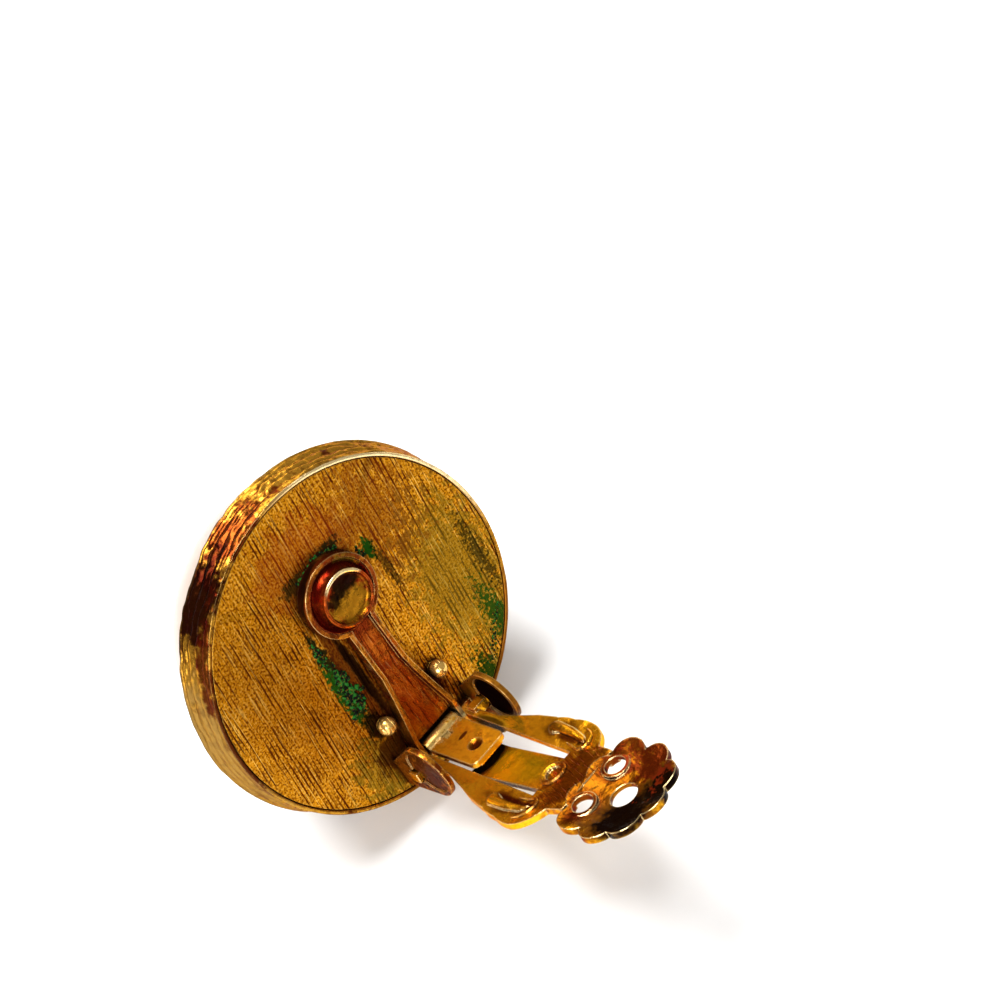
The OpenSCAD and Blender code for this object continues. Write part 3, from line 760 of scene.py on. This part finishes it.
PADDLE_FINISH = GiltFinish(
    name="bright lever gilt", bright=(0.95, 0.48, 0.024, 1), deep=(0.34, 0.085, 0.006, 1),
    worn=(0.98, 0.76, 0.4, 1),
    roughness=0.19, tarnish_size=2.0, tarnish=0.38, dent_size=1.7, dent_depth=0.2, edge_width=0.16,
    edge_share=0.9, speck_share=0.25, metal=0.86, hollow_reach=0.5,
    line_angle=math.radians(18), line_depth=0.035, line_spacing=0.36, line_break=3.2, line_waver=0.9,
    scratch_share=0.2, line_place=TintPatch((9.3, 0, 14.6), (2.4, 3.6, 3.2), GOLD, 0.2, 0.9),
    tint_patches=(
        # The neck, the flower and the rims of its small holes.
        TintPatch((9.3, 0, 14.6), (2.4, 3.6, 3.2), (0.31, 0.08, 0.006, 1), 0.7, 1.0, 0.05, 0.8),
        TintPatch((8.6, 0.0, 19.8), (3.0, 7.0, 6.6), (0.25, 0.08, 0.006, 1), 0.7, 0.8, 0.0, 0.91),
        TintPatch((9.3, 1.7, 17.9), (1.5, 1.75, 1.75), (0.17, 0.04, 0.004, 1), 0.25, 0.9, 0.0, 0.9),
        TintPatch((9.3, -1.7, 17.9), (1.5, 1.75, 1.75), (0.17, 0.04, 0.004, 1), 0.25, 0.9, 0.0, 0.9),
        # The lobes' outsides, the tongue, a painted shadow with tarnish under the link, and painted shade
        # on the tongue's near side.
        TintPatch((10.0, 3.2, 10.7), (0.42, 1.3, 3.2), (0.2, 0.05, 0.007, 1), 0.35, 0.9, 0.0, 0.65),
        TintPatch((10.0, -3.2, 10.7), (0.42, 1.3, 3.2), (0.2, 0.05, 0.007, 1), 0.35, 0.9, 0.0, 0.88),
        TintPatch((10.4, 0, 8.4), (2.0, 1.9, 5.0), (0.82, 0.54, 0.014, 1), 0.2, 0.8, 0.05, 0.85),
        TintPatch((10.8, 0, 5.0), (1.8, 3.0, 1.5), BLACK, 0.12, 0.8, 0.1, 1.0, 0.8),
        TintPatch((10.2, -1.46, 8.6), (3.2, 0.16, 6.5), (0.06, 0.008, 0.003, 1), 0.03, 0.9, 0.0, 0.95, 0.5),
        # The flower's petals: black painted shade on two parts of it, then dark red petals.
        TintPatch((8.3, -1.6, 21.4), (2.6, 3.2, 3.4), BLACK, 0.3, 0.7, 0.0, 1.0, 0.96),
        TintPatch((8.2, 1.3, 23.0), (2.4, 2.4, 2.6), BLACK, 0.35, 0.8, 0.0, 1.0, 0.9),
        TintPatch((8.4, 3.2, 20.4), (2.4, 2.6, 3.6), (0.13, 0.016, 0.004, 1), 1.5, 1.3, 0.0, 0.85, 0.15),
        TintPatch((8.6, -3.0, 18.2), (1.0, 0.9, 1.0), (0.09, 0.012, 0.003, 1), 0.3, 1.0, 0.0, 0.8),
        # Painted shade in the hollows along the scrolls, and black painted shade by the far arm.
        TintPatch((9.4, 3.2, 9.9), (0.8, 1.0, 1.2), (0.14, 0.05, 0.007, 1), 0.3, 1.0, 0.0, 0.7),
        TintPatch((9.4, 2.8, 11.8), (0.8, 0.34, 2.8), (0.16, 0.035, 0.005, 1), 0.2, 1.0, 0.0, 0.85),
        TintPatch((9.4, -2.8, 11.8), (0.8, 0.34, 2.8), (0.13, 0.018, 0.004, 1), 0.2, 1.0, 0.0, 0.9),
        TintPatch((10.1, 2.1, 4.2), (1.3, 0.5, 2.6), BLACK, 0.1, 1.0, 0.0, 0.9, 0.7),
    ),
)


# Meshes


class PieceMaker:
    """Makes mesh objects from points given in the plate's frame, in mm."""

    @staticmethod
    def mesh(name: str, points: np.ndarray, faces: list[tuple[int, ...]]) -> Object:
        """Makes a smooth mesh object.

        Args:
            name: the piece's name.
            points: an array of points in mm, one row each.
            faces: corner numbers, one tuple for each face.
        Returns: the object, already in the row frame.
        """
        matrix = np.array(POSE.matrix())
        placed = points @ matrix[:3, :3].T + matrix[:3, 3]
        data = bpy.data.meshes.new(name)
        data.from_pydata(placed.tolist(), [], faces)
        data.validate()
        data.update()
        data.shade_smooth()
        made = bpy.data.objects.new(name, data)
        bpy.context.scene.collection.objects.link(made)
        return made

    @staticmethod
    def turned(name: str, r: np.ndarray, z: np.ndarray, closed: bool, x: float = 0.0) -> Object:
        """Makes a turned mesh.

        Args:
            name: the piece's name.
            r: radii in mm, an array of turn steps by profile points.
            z: heights in mm, an array of the same shape.
            closed: whether the profile's last point joins its first.
            x: where the axis stands along the plate, in mm.
        Returns: the object.
        """
        turns, steps = r.shape
        around = np.linspace(0, math.tau, turns, endpoint=False)[:, None]
        rings = np.stack([x + r * np.cos(around), r * np.sin(around), z], 2)
        faces = []
        for i in range(turns):
            j = (i + 1) % turns
            for k in range(steps if closed else steps - 1):
                m = (k + 1) % steps
                faces.append((i * steps + k, i * steps + m, j * steps + m, j * steps + k))
        return PieceMaker.mesh(name, rings.reshape(-1, 3), faces)

    @staticmethod
    def weld(piece: Object, gap: float) -> None:
        """Joins those points of a piece that lie closer than a gap in mm."""
        piece.modifiers.new("weld", "WELD").merge_threshold = gap * MM


@dataclass(frozen=True)
class Wrinkle:
    """Smooth seeded noise that wraps round a turned piece, with so many cells around and along."""

    seed: int
    around: int
    along: int
    height: float

    def over(self, turns: int, steps: int) -> np.ndarray:
        """Spreads the noise over a turned piece.

        Args:
            turns: how many steps there are round the piece.
            steps: how many points its profile has.
        Returns: the noise, an array of turns by steps, from -height to height.
        """
        cells = np.random.default_rng(self.seed).uniform(-1, 1, (self.around, self.along + 1))
        u = np.arange(turns) * self.around / turns
        v = np.linspace(0, self.along - END_GAP, steps)
        i, j = u.astype(int), v.astype(int)
        s, t = u - i, v - j
        s, t = (s * s * (3 - 2 * s))[:, None], t * t * (3 - 2 * t)
        near, far = cells[i], cells[(i + 1) % self.around]
        low = near[:, j] * (1 - s) + far[:, j] * s
        high = near[:, j + 1] * (1 - s) + far[:, j + 1] * s
        return self.height * (low * (1 - t) + high * t)


@dataclass
class Dome:
    """The pearl-like dome, hollow towards the plate."""

    radius: float = 11.65
    depth: float = 1.95
    wall: float = 2.0
    back: float = -0.7
    turns: int = 160
    arc_steps: int = 44

    def profile(self) -> np.ndarray:
        """Returns: radius and height points, from the outer pole round to the inner one."""
        angles = np.linspace(-math.pi / 2, 0, self.arc_steps)
        arc = np.stack([np.cos(angles), np.sin(angles)], 1)
        inner_r = self.radius - self.wall
        rim = np.array([[self.radius, self.back], [inner_r, self.back]])
        sunk = np.array([0.0, self.depth])
        return np.concatenate([self.radius * arc - sunk, rim, (inner_r * arc - sunk)[::-1]])

    def build(self, finish: Material) -> Object:
        """Builds the dome and puts it in place of its solid.

        Args:
            finish: its material.
        Returns: the dome.
        """
        whole = np.ones((self.turns, 1))
        profile = self.profile()
        piece = PieceMaker.turned("pearl_dome", whole * profile[:, 0], whole * profile[:, 1], False)
        PieceMaker.weld(piece, POLE_GAP)
        piece.data.materials.append(finish)
        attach(piece, Body.EARRING.value)
        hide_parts("cabochon")
        return piece


@dataclass
class BarkBand:
    """The band: broken, bark-like rows round the outside and a thin lip round the plate."""

    lip_in: float = 12.05
    lip_top: float = 0.06
    lip_out: float = 12.33
    lip_round_in: tuple[float, float] = (0.06, 0.05)
    lip_round_out: tuple[float, float] = (0.07, 0.06)
    front_r: float = 12.78
    front_round: float = 0.1
    inner_r: float = 11.7
    inner_front: float = 0.95
    shoulder: float = -0.65
    width: float = 2.85
    swell: float = 0.7
    rows: int = 4
    row_sharpness: float = 0.8
    row_height: float = 0.72
    relief_top: float = 1.1
    bead_depth: float = 0.24
    fade: float = 0.05
    most_wave: float = 0.12
    wander: Wrinkle = Wrinkle(BAND_SEED, 34, 3, 0.3)
    dashes: Wrinkle = Wrinkle(BAND_SEED + 1, 64, 7, 0.34)
    cracks: Wrinkle = Wrinkle(BAND_SEED + 2, 230, 13, 0.16)
    chunks: Wrinkle = Wrinkle(BAND_SEED + 3, 26, 4, 0.16)
    front_wave: Wrinkle = Wrinkle(BAND_SEED + 4, 40, 1, 0.1)
    front_chips: Wrinkle = Wrinkle(BAND_SEED + 5, 120, 1, 0.08)
    lip_wave: Wrinkle = Wrinkle(BAND_SEED + 6, 70, 1, 0.03)
    turns: int = 1200
    steps: int = 40

    def outside(self, along: np.ndarray) -> np.ndarray:
        """Works out the broken rows.

        Args:
            along: places along the outside, from 0 at the lip to 1 at the front.
        Returns: the outside's radii, an array of turns by places.
        """
        size = (self.turns, self.steps)
        smooth = self.lip_out + (self.front_r - self.lip_out) * along ** self.swell
        ridge = np.abs(np.sin((along * self.rows + self.wander.over(*size)) * math.pi))
        relief = ridge ** self.row_sharpness * (self.row_height + self.dashes.over(*size))
        relief = np.clip(relief + self.cracks.over(*size) + self.chunks.over(*size), 0, self.relief_top)
        fade = np.clip(np.minimum(along, 1 - along) / self.fade, 0, 1)
        return smooth - self.bead_depth * (1 - relief / self.relief_top) * fade

    def uneven(self, *wrinkles: Wrinkle) -> np.ndarray:
        """Returns: the sum of some wrinkles round an edge, one row a turn step."""
        return sum(wrinkle.over(self.turns, 2)[:, :1] for wrinkle in wrinkles)

    def build(self, finish: Material) -> Object:
        """Builds the band and puts it in place of its solid.

        Args:
            finish: its material.
        Returns: the band.
        """
        whole = np.ones((self.turns, 1))
        along = np.linspace(0, 1, self.steps)
        wave = self.uneven(self.front_wave, self.front_chips)
        depth = self.width - self.most_wave + np.clip(wave, -self.most_wave, self.most_wave)
        (in_r, in_z), (out_r, out_z) = self.lip_round_in, self.lip_round_out
        lip_in, lip_out, lip_top = self.lip_in, self.lip_out, self.lip_top
        lip_r = np.array([lip_in, lip_in, lip_in + in_r, lip_out - out_r, lip_out])
        lip_z = np.array([self.shoulder, lip_top - in_z, lip_top, lip_top, lip_top - out_z])
        edge = self.front_round
        front_r = np.array([self.front_r - edge, self.inner_r + edge, self.inner_r])
        front_share = np.array([-1.0, -1.0, -self.inner_front])
        r = [whole * lip_r, self.outside(along), whole * front_r, whole * self.inner_r]
        z = [whole * lip_z, -along * depth, depth * front_share, whole * self.shoulder]
        r[0][:, 2:] += self.uneven(self.lip_wave)
        piece = PieceMaker.turned("bark_band", np.concatenate(r, 1), np.concatenate(z, 1), True)
        piece.data.materials.append(finish)
        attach(piece, Body.EARRING.value)
        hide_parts("setting_band")
        return piece


@dataclass
class RivetHead:
    """The flared rivet with its dished, scratched recess."""

    x: float = -4.0
    foot: float = -0.6
    shank: float = 1.0
    head_z: float = 0.52
    head_r: float = 2.36
    head_round: tuple[float, float] = (0.04, 0.05)
    rim_foot_z: float = 0.78
    flare_power: float = 1.3
    flare_top: float = 0.2
    flare_steps: int = 10
    waist: float = 0.04
    rim_r: float = 2.05
    rim_z: float = 1.88
    rim_round: float = 0.15
    rim_start: float = 0.15
    rim_steps: int = 7
    recess: float = 0.3
    recess_in: float = 0.36
    recess_slope: tuple[float, float] = (0.1, 0.08)
    recess_dip: float = 0.05
    recess_steps: int = 14
    dents: Wrinkle = Wrinkle(RIVET_SEED, 9, 6, 1.0)
    top_dent: float = 0.035
    side_dent: float = 0.03
    top_reach: float = 0.5
    side_from: tuple[float, float] = (1.2, 0.9)
    turns: int = 128

    def profile(self) -> np.ndarray:
        """Returns: radius and height points, from the foot's middle out, up and into the recess."""
        in_r, in_z = self.head_round
        points = [
            (0.0, self.foot), (self.shank, self.foot), (self.shank, self.head_z),
            (self.head_r - in_r, self.head_z), (self.head_r, self.head_z + in_z),
            (self.head_r, self.rim_foot_z),
        ]
        flare = self.head_r - self.rim_r + self.waist
        rise = self.rim_z - self.flare_top - self.rim_foot_z
        for share in np.linspace(1 / self.flare_steps, 1, self.flare_steps):
            radius = self.head_r - flare * math.sin(share * math.pi / 2)
            points.append((radius, self.rim_foot_z + rise * share ** self.flare_power))
        edge = self.rim_round
        for turn in np.linspace(self.rim_start, 1, self.rim_steps) * math.pi:
            across, up = edge * (math.cos(turn) - 1), edge * (math.sin(turn) - 1)
            points.append((self.rim_r + across, self.rim_z + up))
        slope_r, slope_z = self.recess_slope
        wall_r, low = self.rim_r - self.recess_in, self.rim_z - self.recess - self.recess_dip
        points.append((wall_r, low + slope_z))
        points.extend((radius, low) for radius in np.linspace(wall_r - slope_r, 0.0, self.recess_steps))
        return np.array(points)

    def build(self, finish: Material) -> Object:
        """Builds the rivet and puts it in place of its solid.

        Args:
            finish: its material.
        Returns: the rivet.
        """
        profile = self.profile()
        whole = np.ones((self.turns, 1))
        r, z = whole * profile[:, 0], whole * profile[:, 1]
        dents = self.dents.over(self.turns, len(profile))
        top = profile[:, 1] > self.rim_z - self.top_reach
        z[:, top] += self.top_dent * dents[:, top] * np.clip(profile[top, 0], 0, 1)
        side = (profile[:, 0] > self.side_from[0]) & (profile[:, 1] > self.side_from[1])
        r[:, side] += self.side_dent * dents[:, side]
        piece = PieceMaker.turned("flared_rivet", r, np.minimum(z, self.rim_z), False, self.x)
        PieceMaker.weld(piece, POLE_GAP)
        piece.data.materials.append(finish)
        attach(piece, Body.EARRING.value)
        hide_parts("rivet")
        return piece


@dataclass
class StampedPiece:
    """A stamped sheet piece whose solid is kept, with its edges rounded."""

    node: str
    edge: float = 0.1
    segments: int = 3
    least_angle: float = 32.0
    weld_gap: float = 0.004

    def dress(self, solid: Object, finish: Material) -> None:
        """Rounds the solid's edges and gives it its finish.

        Args:
            solid: the solid's object.
            finish: its material.
        """
        solid.data.materials.clear()
        solid.data.materials.append(finish)
        PieceMaker.weld(solid, self.weld_gap)
        rounding = solid.modifiers.new("rounded edges", "BEVEL")
        rounding.limit_method = "ANGLE"
        rounding.angle_limit = math.radians(self.least_angle)
        rounding.width = self.edge * MM
        rounding.segments = self.segments
        rounding.use_clamp_overlap = True
        rounding.harden_normals = False
        log.info("dressed %s", self.node)


@dataclass(frozen=True)
class CrustStroke:
    """One run of corrosion lumps between two points of the plate, in mm."""

    start: tuple[float, float]
    end: tuple[float, float]
    count: int
    start_spread: float
    end_spread: float
    most: float


@dataclass
class CorrosionCrust:
    """Small lumps of green corrosion along the arm's shaded side and the pad's edge."""

    strokes: tuple[CrustStroke, ...] = (
        CrustStroke((-2.5, -3.5), (0.4, -3.25), 60, 0.1, 0.22, 0.13),
        CrustStroke((0.4, -3.25), (4.0, -3.3), 190, 0.2, 0.42, 0.19),
        CrustStroke((-6.4, 2.0), (-7.05, 0.3), 40, 0.08, 0.12, 0.13),
        CrustStroke((-7.05, 0.3), (-6.5, -1.9), 34, 0.07, 0.1, 0.1),
        CrustStroke((-5.2, 3.1), (-4.2, 3.4), 26, 0.1, 0.12, 0.11),
        CrustStroke((6.4, 9.4), (9.6, 6.6), 60, 0.15, 0.3, 0.09),
    )
    least: float = 0.04
    stretch: float = 1.3
    height: float = 0.75
    uneven: float = 0.25
    sunk: float = 0.01
    rings: int = 3
    sides: int = 8

    def lump(self, chance: np.random.Generator, x: float, y: float, size: float) -> list[Place]:
        """Makes the points of one lump.

        Args:
            chance: the seeded generator.
            x: where it lies along the plate.
            y: where it lies across the plate.
            size: its radius.
        Returns: its points, ring by ring, then its tip.
        """
        spin = chance.uniform(0, math.tau)
        points = []
        for ring in range(self.rings):
            lift = ring / self.rings * math.pi / 2
            z = self.height * size * math.sin(lift) - self.sunk
            for side in range(self.sides):
                turn = spin + side * math.tau / self.sides
                reach = size * math.cos(lift) * chance.uniform(1 - self.uneven, 1 + self.uneven)
                points.append((x + self.stretch * reach * math.cos(turn), y + reach * math.sin(turn), z))
        points.append((x, y, self.height * size))
        return points

    def lump_faces(self, base: int) -> list[tuple[int, ...]]:
        """Makes the faces of one lump.

        Args:
            base: the number of its first point.
        Returns: its faces.
        """
        faces = []
        for ring in range(self.rings - 1):
            low, high = base + ring * self.sides, base + (ring + 1) * self.sides
            for side in range(self.sides):
                after = (side + 1) % self.sides
                faces.append((low + side, low + after, high + after, high + side))
        tip, high = base + self.rings * self.sides, base + (self.rings - 1) * self.sides
        faces.extend((high + side, high + (side + 1) % self.sides, tip) for side in range(self.sides))
        faces.append(tuple(base + side for side in reversed(range(self.sides))))
        return faces

    def build(self, finish: Material) -> Object:
        """Builds the crust on the plate.

        Args:
            finish: its material.
        Returns: the crust.
        """
        chance = np.random.default_rng(CRUST_SEED)
        points: list[Place] = []
        faces: list[tuple[int, ...]] = []
        for stroke in self.strokes:
            (start_x, start_y), (end_x, end_y) = stroke.start, stroke.end
            for _ in range(stroke.count):
                share = chance.uniform()
                spread = stroke.start_spread + share * (stroke.end_spread - stroke.start_spread)
                x = start_x + share * (end_x - start_x) + chance.normal(0, spread / 2)
                y = start_y + share * (end_y - start_y) + chance.normal(0, spread)
                faces.extend(self.lump_faces(len(points)))
                points.extend(self.lump(chance, x, y, chance.uniform(self.least, stroke.most)))
        piece = PieceMaker.mesh("corrosion_crust", np.array(points), faces)
        piece.data.materials.append(finish)
        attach(piece, Body.EARRING.value)
        return piece


@dataclass
class PadBowl:
    """The soft slope from the pad's rim down to the rivet."""

    x: float = -4.0
    profile: tuple[tuple[float, float], ...] = (
        (2.03, 0.52), (2.59, 0.52), (2.59, 0.96), (2.55, 0.98), (2.46, 0.93), (2.36, 0.86),
        (2.26, 0.8), (2.16, 0.76), (2.06, 0.74), (2.03, 0.73),
    )
    uneven: Wrinkle = Wrinkle(PAD_SEED, 7, 3, 0.03)
    flat_below: float = 0.6
    turns: int = 96

    def build(self, finish: Material) -> Object:
        """Builds the bowl inside the pad.

        Args:
            finish: its material.
        Returns: the bowl.
        """
        profile = np.array(self.profile)
        whole = np.ones((self.turns, 1))
        uneven = self.uneven.over(self.turns, len(profile)) * (profile[:, 1] > self.flat_below)
        r, z = whole * profile[:, 0], profile[:, 1] + uneven
        piece = PieceMaker.turned("pad_bowl", r, z, True, self.x)
        piece.data.materials.append(finish)
        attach(piece, Body.EARRING.value)
        return piece


@dataclass(frozen=True)
class Scroll:
    """One raised line on the lever: points along and across it, half widths and a height in mm."""

    path: tuple[tuple[float, float], ...]
    widths: tuple[float, ...]
    height: float
    smoothings: int = 6
    end_share: float = 0.07
    least_taper: float = 0.02

    def smooth(self, samples: int) -> tuple[np.ndarray, np.ndarray]:
        """Evens the line out.

        Args:
            samples: how many points it gets.
        Returns: the points along the path, and the half width at each.
        """
        even = np.linspace(0, 1, samples)
        knots = np.linspace(0, 1, len(self.path))
        path = np.stack([np.interp(even, knots, values) for values in np.array(self.path).T], 1)
        for _ in range(self.smoothings):
            path[1:-1] = (path[:-2] + 2 * path[1:-1] + path[2:]) / 4
        taper = np.sqrt(np.clip(np.minimum(even, 1 - even) / self.end_share, self.least_taper, 1))
        return path, np.interp(even, knots, self.widths) * taper


@dataclass
class LeverRelief:
    """The pressed scrolls on the lobes and the ring at the tongue's root."""

    hinge_x: float = 9.55
    hinge_z: float = 2.1
    open_angle: float = 87.6
    face_z: float = 0.1
    climb_from: float = 10.45
    climb: float = 0.2486
    sunk: float = 0.1
    samples: int = 60
    sides: int = 16
    scrolls: tuple[Scroll, ...] = (
        Scroll(
            ((7.3, 3.36), (7.9, 3.36), (8.8, 3.34), (9.8, 3.24), (10.6, 3.06), (11.1, 2.9)),
            (0.32, 0.4, 0.34, 0.27, 0.22, 0.13), 0.26,
        ),
        Scroll(
            ((9.6, 2.5), (10.5, 2.36), (11.1, 2.2), (11.5, 2.4), (11.62, 2.9), (11.4, 3.4),
             (10.9, 3.8), (10.2, 4.05)),
            (0.08, 0.12, 0.15, 0.17, 0.17, 0.15, 0.11, 0.07), 0.17,
        ),
    )
    ring_at: float = 10.75
    ring_r: float = 0.84
    ring_w: float = 0.2
    ring_h: float = 0.2

    def place(self, along: np.ndarray, across: np.ndarray, above: np.ndarray) -> np.ndarray:
        """Turns lever sizes into points of the plate's frame.

        Args:
            along: distances from the hinge.
            across: distances from the lever's middle line.
            above: heights over the lever's face.
        Returns: the points, one row each.
        """
        turn = math.radians(self.open_angle)
        z = self.face_z + above + np.maximum(0, along - self.climb_from) * self.climb
        x = self.hinge_x + along * math.cos(turn) - z * math.sin(turn)
        up = self.hinge_z + along * math.sin(turn) + z * math.cos(turn)
        return np.stack([x, across, up], -1)

    def ridge(self, path: np.ndarray, widths: np.ndarray, height: float, closed: bool) -> np.ndarray:
        """Makes the points of a low ridge along a path.

        Args:
            path: points along and across the lever.
            widths: its half width at each point.
            height: its height over the face.
            closed: whether the path joins up.
        Returns: its points, one row each.
        """
        ahead = np.roll(path, -1, 0) - np.roll(path, 1, 0) if closed else np.gradient(path, axis=0)
        ahead /= np.linalg.norm(ahead, axis=1, keepdims=True)
        beside = np.stack([-ahead[:, 1], ahead[:, 0]], 1)
        turns = np.linspace(0, math.tau, self.sides, endpoint=False)
        reach = widths[:, None] * np.cos(turns)
        along = path[:, :1] + beside[:, :1] * reach
        across = path[:, 1:] + beside[:, 1:] * reach
        rise = np.where(np.sin(turns) > 0, height, self.sunk) * np.sin(turns)
        above = rise[None, :] * np.sqrt(widths / widths.max())[:, None]
        return self.place(along, across, above).reshape(-1, 3)

    def ridge_faces(self, base: int, closed: bool) -> list[tuple[int, ...]]:
        """Makes the faces of one ridge.

        Args:
            base: the number of its first point.
            closed: whether its path joins up.
        Returns: its faces.
        """
        count, sides, faces = self.samples, self.sides, []
        for i in range(count if closed else count - 1):
            here, after = base + i * sides, base + (i + 1) % count * sides
            for k in range(sides):
                m = (k + 1) % sides
                faces.append((here + k, here + m, after + m, after + k))
        if not closed:
            faces.append(tuple(base + k for k in range(sides)))
            faces.append(tuple(base + (count - 1) * sides + k for k in reversed(range(sides))))
        return faces

    def build(self, finish: Material) -> Object:
        """Builds the relief on both lobes and at the tongue's root.

        Args:
            finish: its material.
        Returns: the relief.
        """
        ridges = []
        faces: list[tuple[int, ...]] = []
        for scroll in self.scrolls:
            path, widths = scroll.smooth(self.samples)
            for side in (-1, 1):
                faces.extend(self.ridge_faces(len(ridges) * self.samples * self.sides, False))
                ridges.append(self.ridge(path * (1, side), widths, scroll.height, False))
        turn = np.linspace(0, math.tau, self.samples, endpoint=False)
        ring = np.stack([self.ring_at + self.ring_r * np.cos(turn), self.ring_r * np.sin(turn)], 1)
        faces.extend(self.ridge_faces(len(ridges) * self.samples * self.sides, True))
        ridges.append(self.ridge(ring, np.full(self.samples, self.ring_w), self.ring_h, True))
        piece = PieceMaker.mesh("lever_relief", np.concatenate(ridges), faces)
        piece.data.materials.append(finish)
        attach(piece, Body.LEVER.value)
        return piece


@dataclass(frozen=True)
class Lamp:
    """One round soft light: its place and size in metres and its power in watts."""

    name: str
    place: Place
    size: float
    power: float


@dataclass
class Studio:
    """The pale floor, the soft lights and the camera."""

    floor_half: float = 2.0
    floor_colour: Colour = (0.86, 0.86, 0.86, 1)
    floor_roughness: float = 0.9
    floor_shine: float = 0.1
    eye: Place = (-106.6995, -61.2126, 158.7036)
    right: Place = (0.47688, 0.6242, 0.61884)
    down: Place = (0.70685, -0.69082, 0.1521)
    focal_share: float = 2.995
    sensor: float = 36.0
    clip_start: float = 0.01
    clip_end: float = 20.0
    lamps: tuple[Lamp, ...] = (
        Lamp("key", (-0.62, -0.11, 1.08), 0.8, 14.0),
        Lamp("side", (-0.74, 0.29, 0.3), 0.42, 1.2),
        Lamp("fill", (0.62, -0.66, 0.62), 0.7, 6.0),
    )
    lit_point: Place = (0, 0, 0.012)
    room_colour: Colour = (1.0, 0.98, 0.95, 1)
    room_strength: float = 0.2
    exposure: float = 0.5

    def floor(self) -> None:
        """Lays the floor."""
        half = self.floor_half
        data = bpy.data.meshes.new("floor")
        corners = [(-half, -half, 0), (half, -half, 0), (half, half, 0), (-half, half, 0)]
        data.from_pydata(corners, [], [(0, 1, 2, 3)])
        floor = bpy.data.objects.new("floor", data)
        bpy.context.scene.collection.objects.link(floor)
        made, g, shader = blank_material("pale floor")
        g.fill(
            shader, Base_Color=self.floor_colour, Roughness=self.floor_roughness,
            Specular_IOR_Level=self.floor_shine,
        )
        data.materials.append(made)

    def light(self) -> None:
        """Sets the soft lights and the room's light."""
        scene = bpy.context.scene
        for lamp in self.lamps:
            data = bpy.data.lights.new(lamp.name, "AREA")
            data.shape = "DISK"
            data.size = lamp.size
            data.energy = lamp.power
            light = bpy.data.objects.new(lamp.name, data)
            light.location = Vector(lamp.place)
            ahead = Vector(self.lit_point) - light.location
            light.rotation_euler = ahead.to_track_quat("-Z", "Y").to_euler()
            scene.collection.objects.link(light)
        world = bpy.data.worlds.new("studio")
        scene.world = world
        world.use_nodes = True
        room = world.node_tree.nodes["Background"]
        room.inputs["Color"].default_value = self.room_colour
        room.inputs["Strength"].default_value = self.room_strength
        scene.view_settings.view_transform = "Standard"
        scene.view_settings.look = "Medium High Contrast"
        scene.view_settings.exposure = self.exposure

    def camera(self) -> None:
        """Sets the camera where the picture was taken from."""
        data = bpy.data.cameras.new("camera")
        data.sensor_width = self.sensor
        data.lens = self.focal_share * self.sensor
        data.clip_start = self.clip_start
        data.clip_end = self.clip_end
        camera = bpy.data.objects.new("camera", data)
        right = POSE.direction(*self.right)
        up = -POSE.direction(*self.down)
        turned = Matrix((right, up, right.cross(up))).transposed()
        camera.matrix_world = Matrix.Translation(POSE.point(*self.eye)) @ turned.to_4x4()
        bpy.context.scene.collection.objects.link(camera)
        bpy.context.scene.camera = camera


def main() -> None:
    """Builds each piece in order."""
    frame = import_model()
    nodes = frame["nodes"]
    effects = Effects()
    studio = Studio()
    studio.camera()
    studio.floor()
    studio.light()
    lever_gilt = PADDLE_FINISH.material(effects)
    built = (
        (Dome(), PearlFinish().material(effects)),
        (BarkBand(), BAND_FINISH.material(effects)),
        (RivetHead(), RIVET_FINISH.material(effects)),
        (CorrosionCrust(), CrustFinish().material(effects)),
        (PadBowl(), PAD_FINISH.material(effects)),
        (LeverRelief(), lever_gilt),
    )
    for maker, finish in built:
        piece = maker.build(finish)
        log.info("built %s", piece.name)
    dressed = (
        (StampedPiece("back_plate", edge=0.05, segments=2), PLATE_FINISH.material(effects)),
        (StampedPiece("clip_bracket", edge=0.11), BRACKET_FINISH.material(effects)),
        (StampedPiece("spring_link"), LINK_FINISH.material(effects)),
        (StampedPiece("paddle"), lever_gilt),
    )
    for stamped, finish in dressed:
        stamped.dress(nodes[stamped.node], finish)


if __name__ == "__main__":
    main()
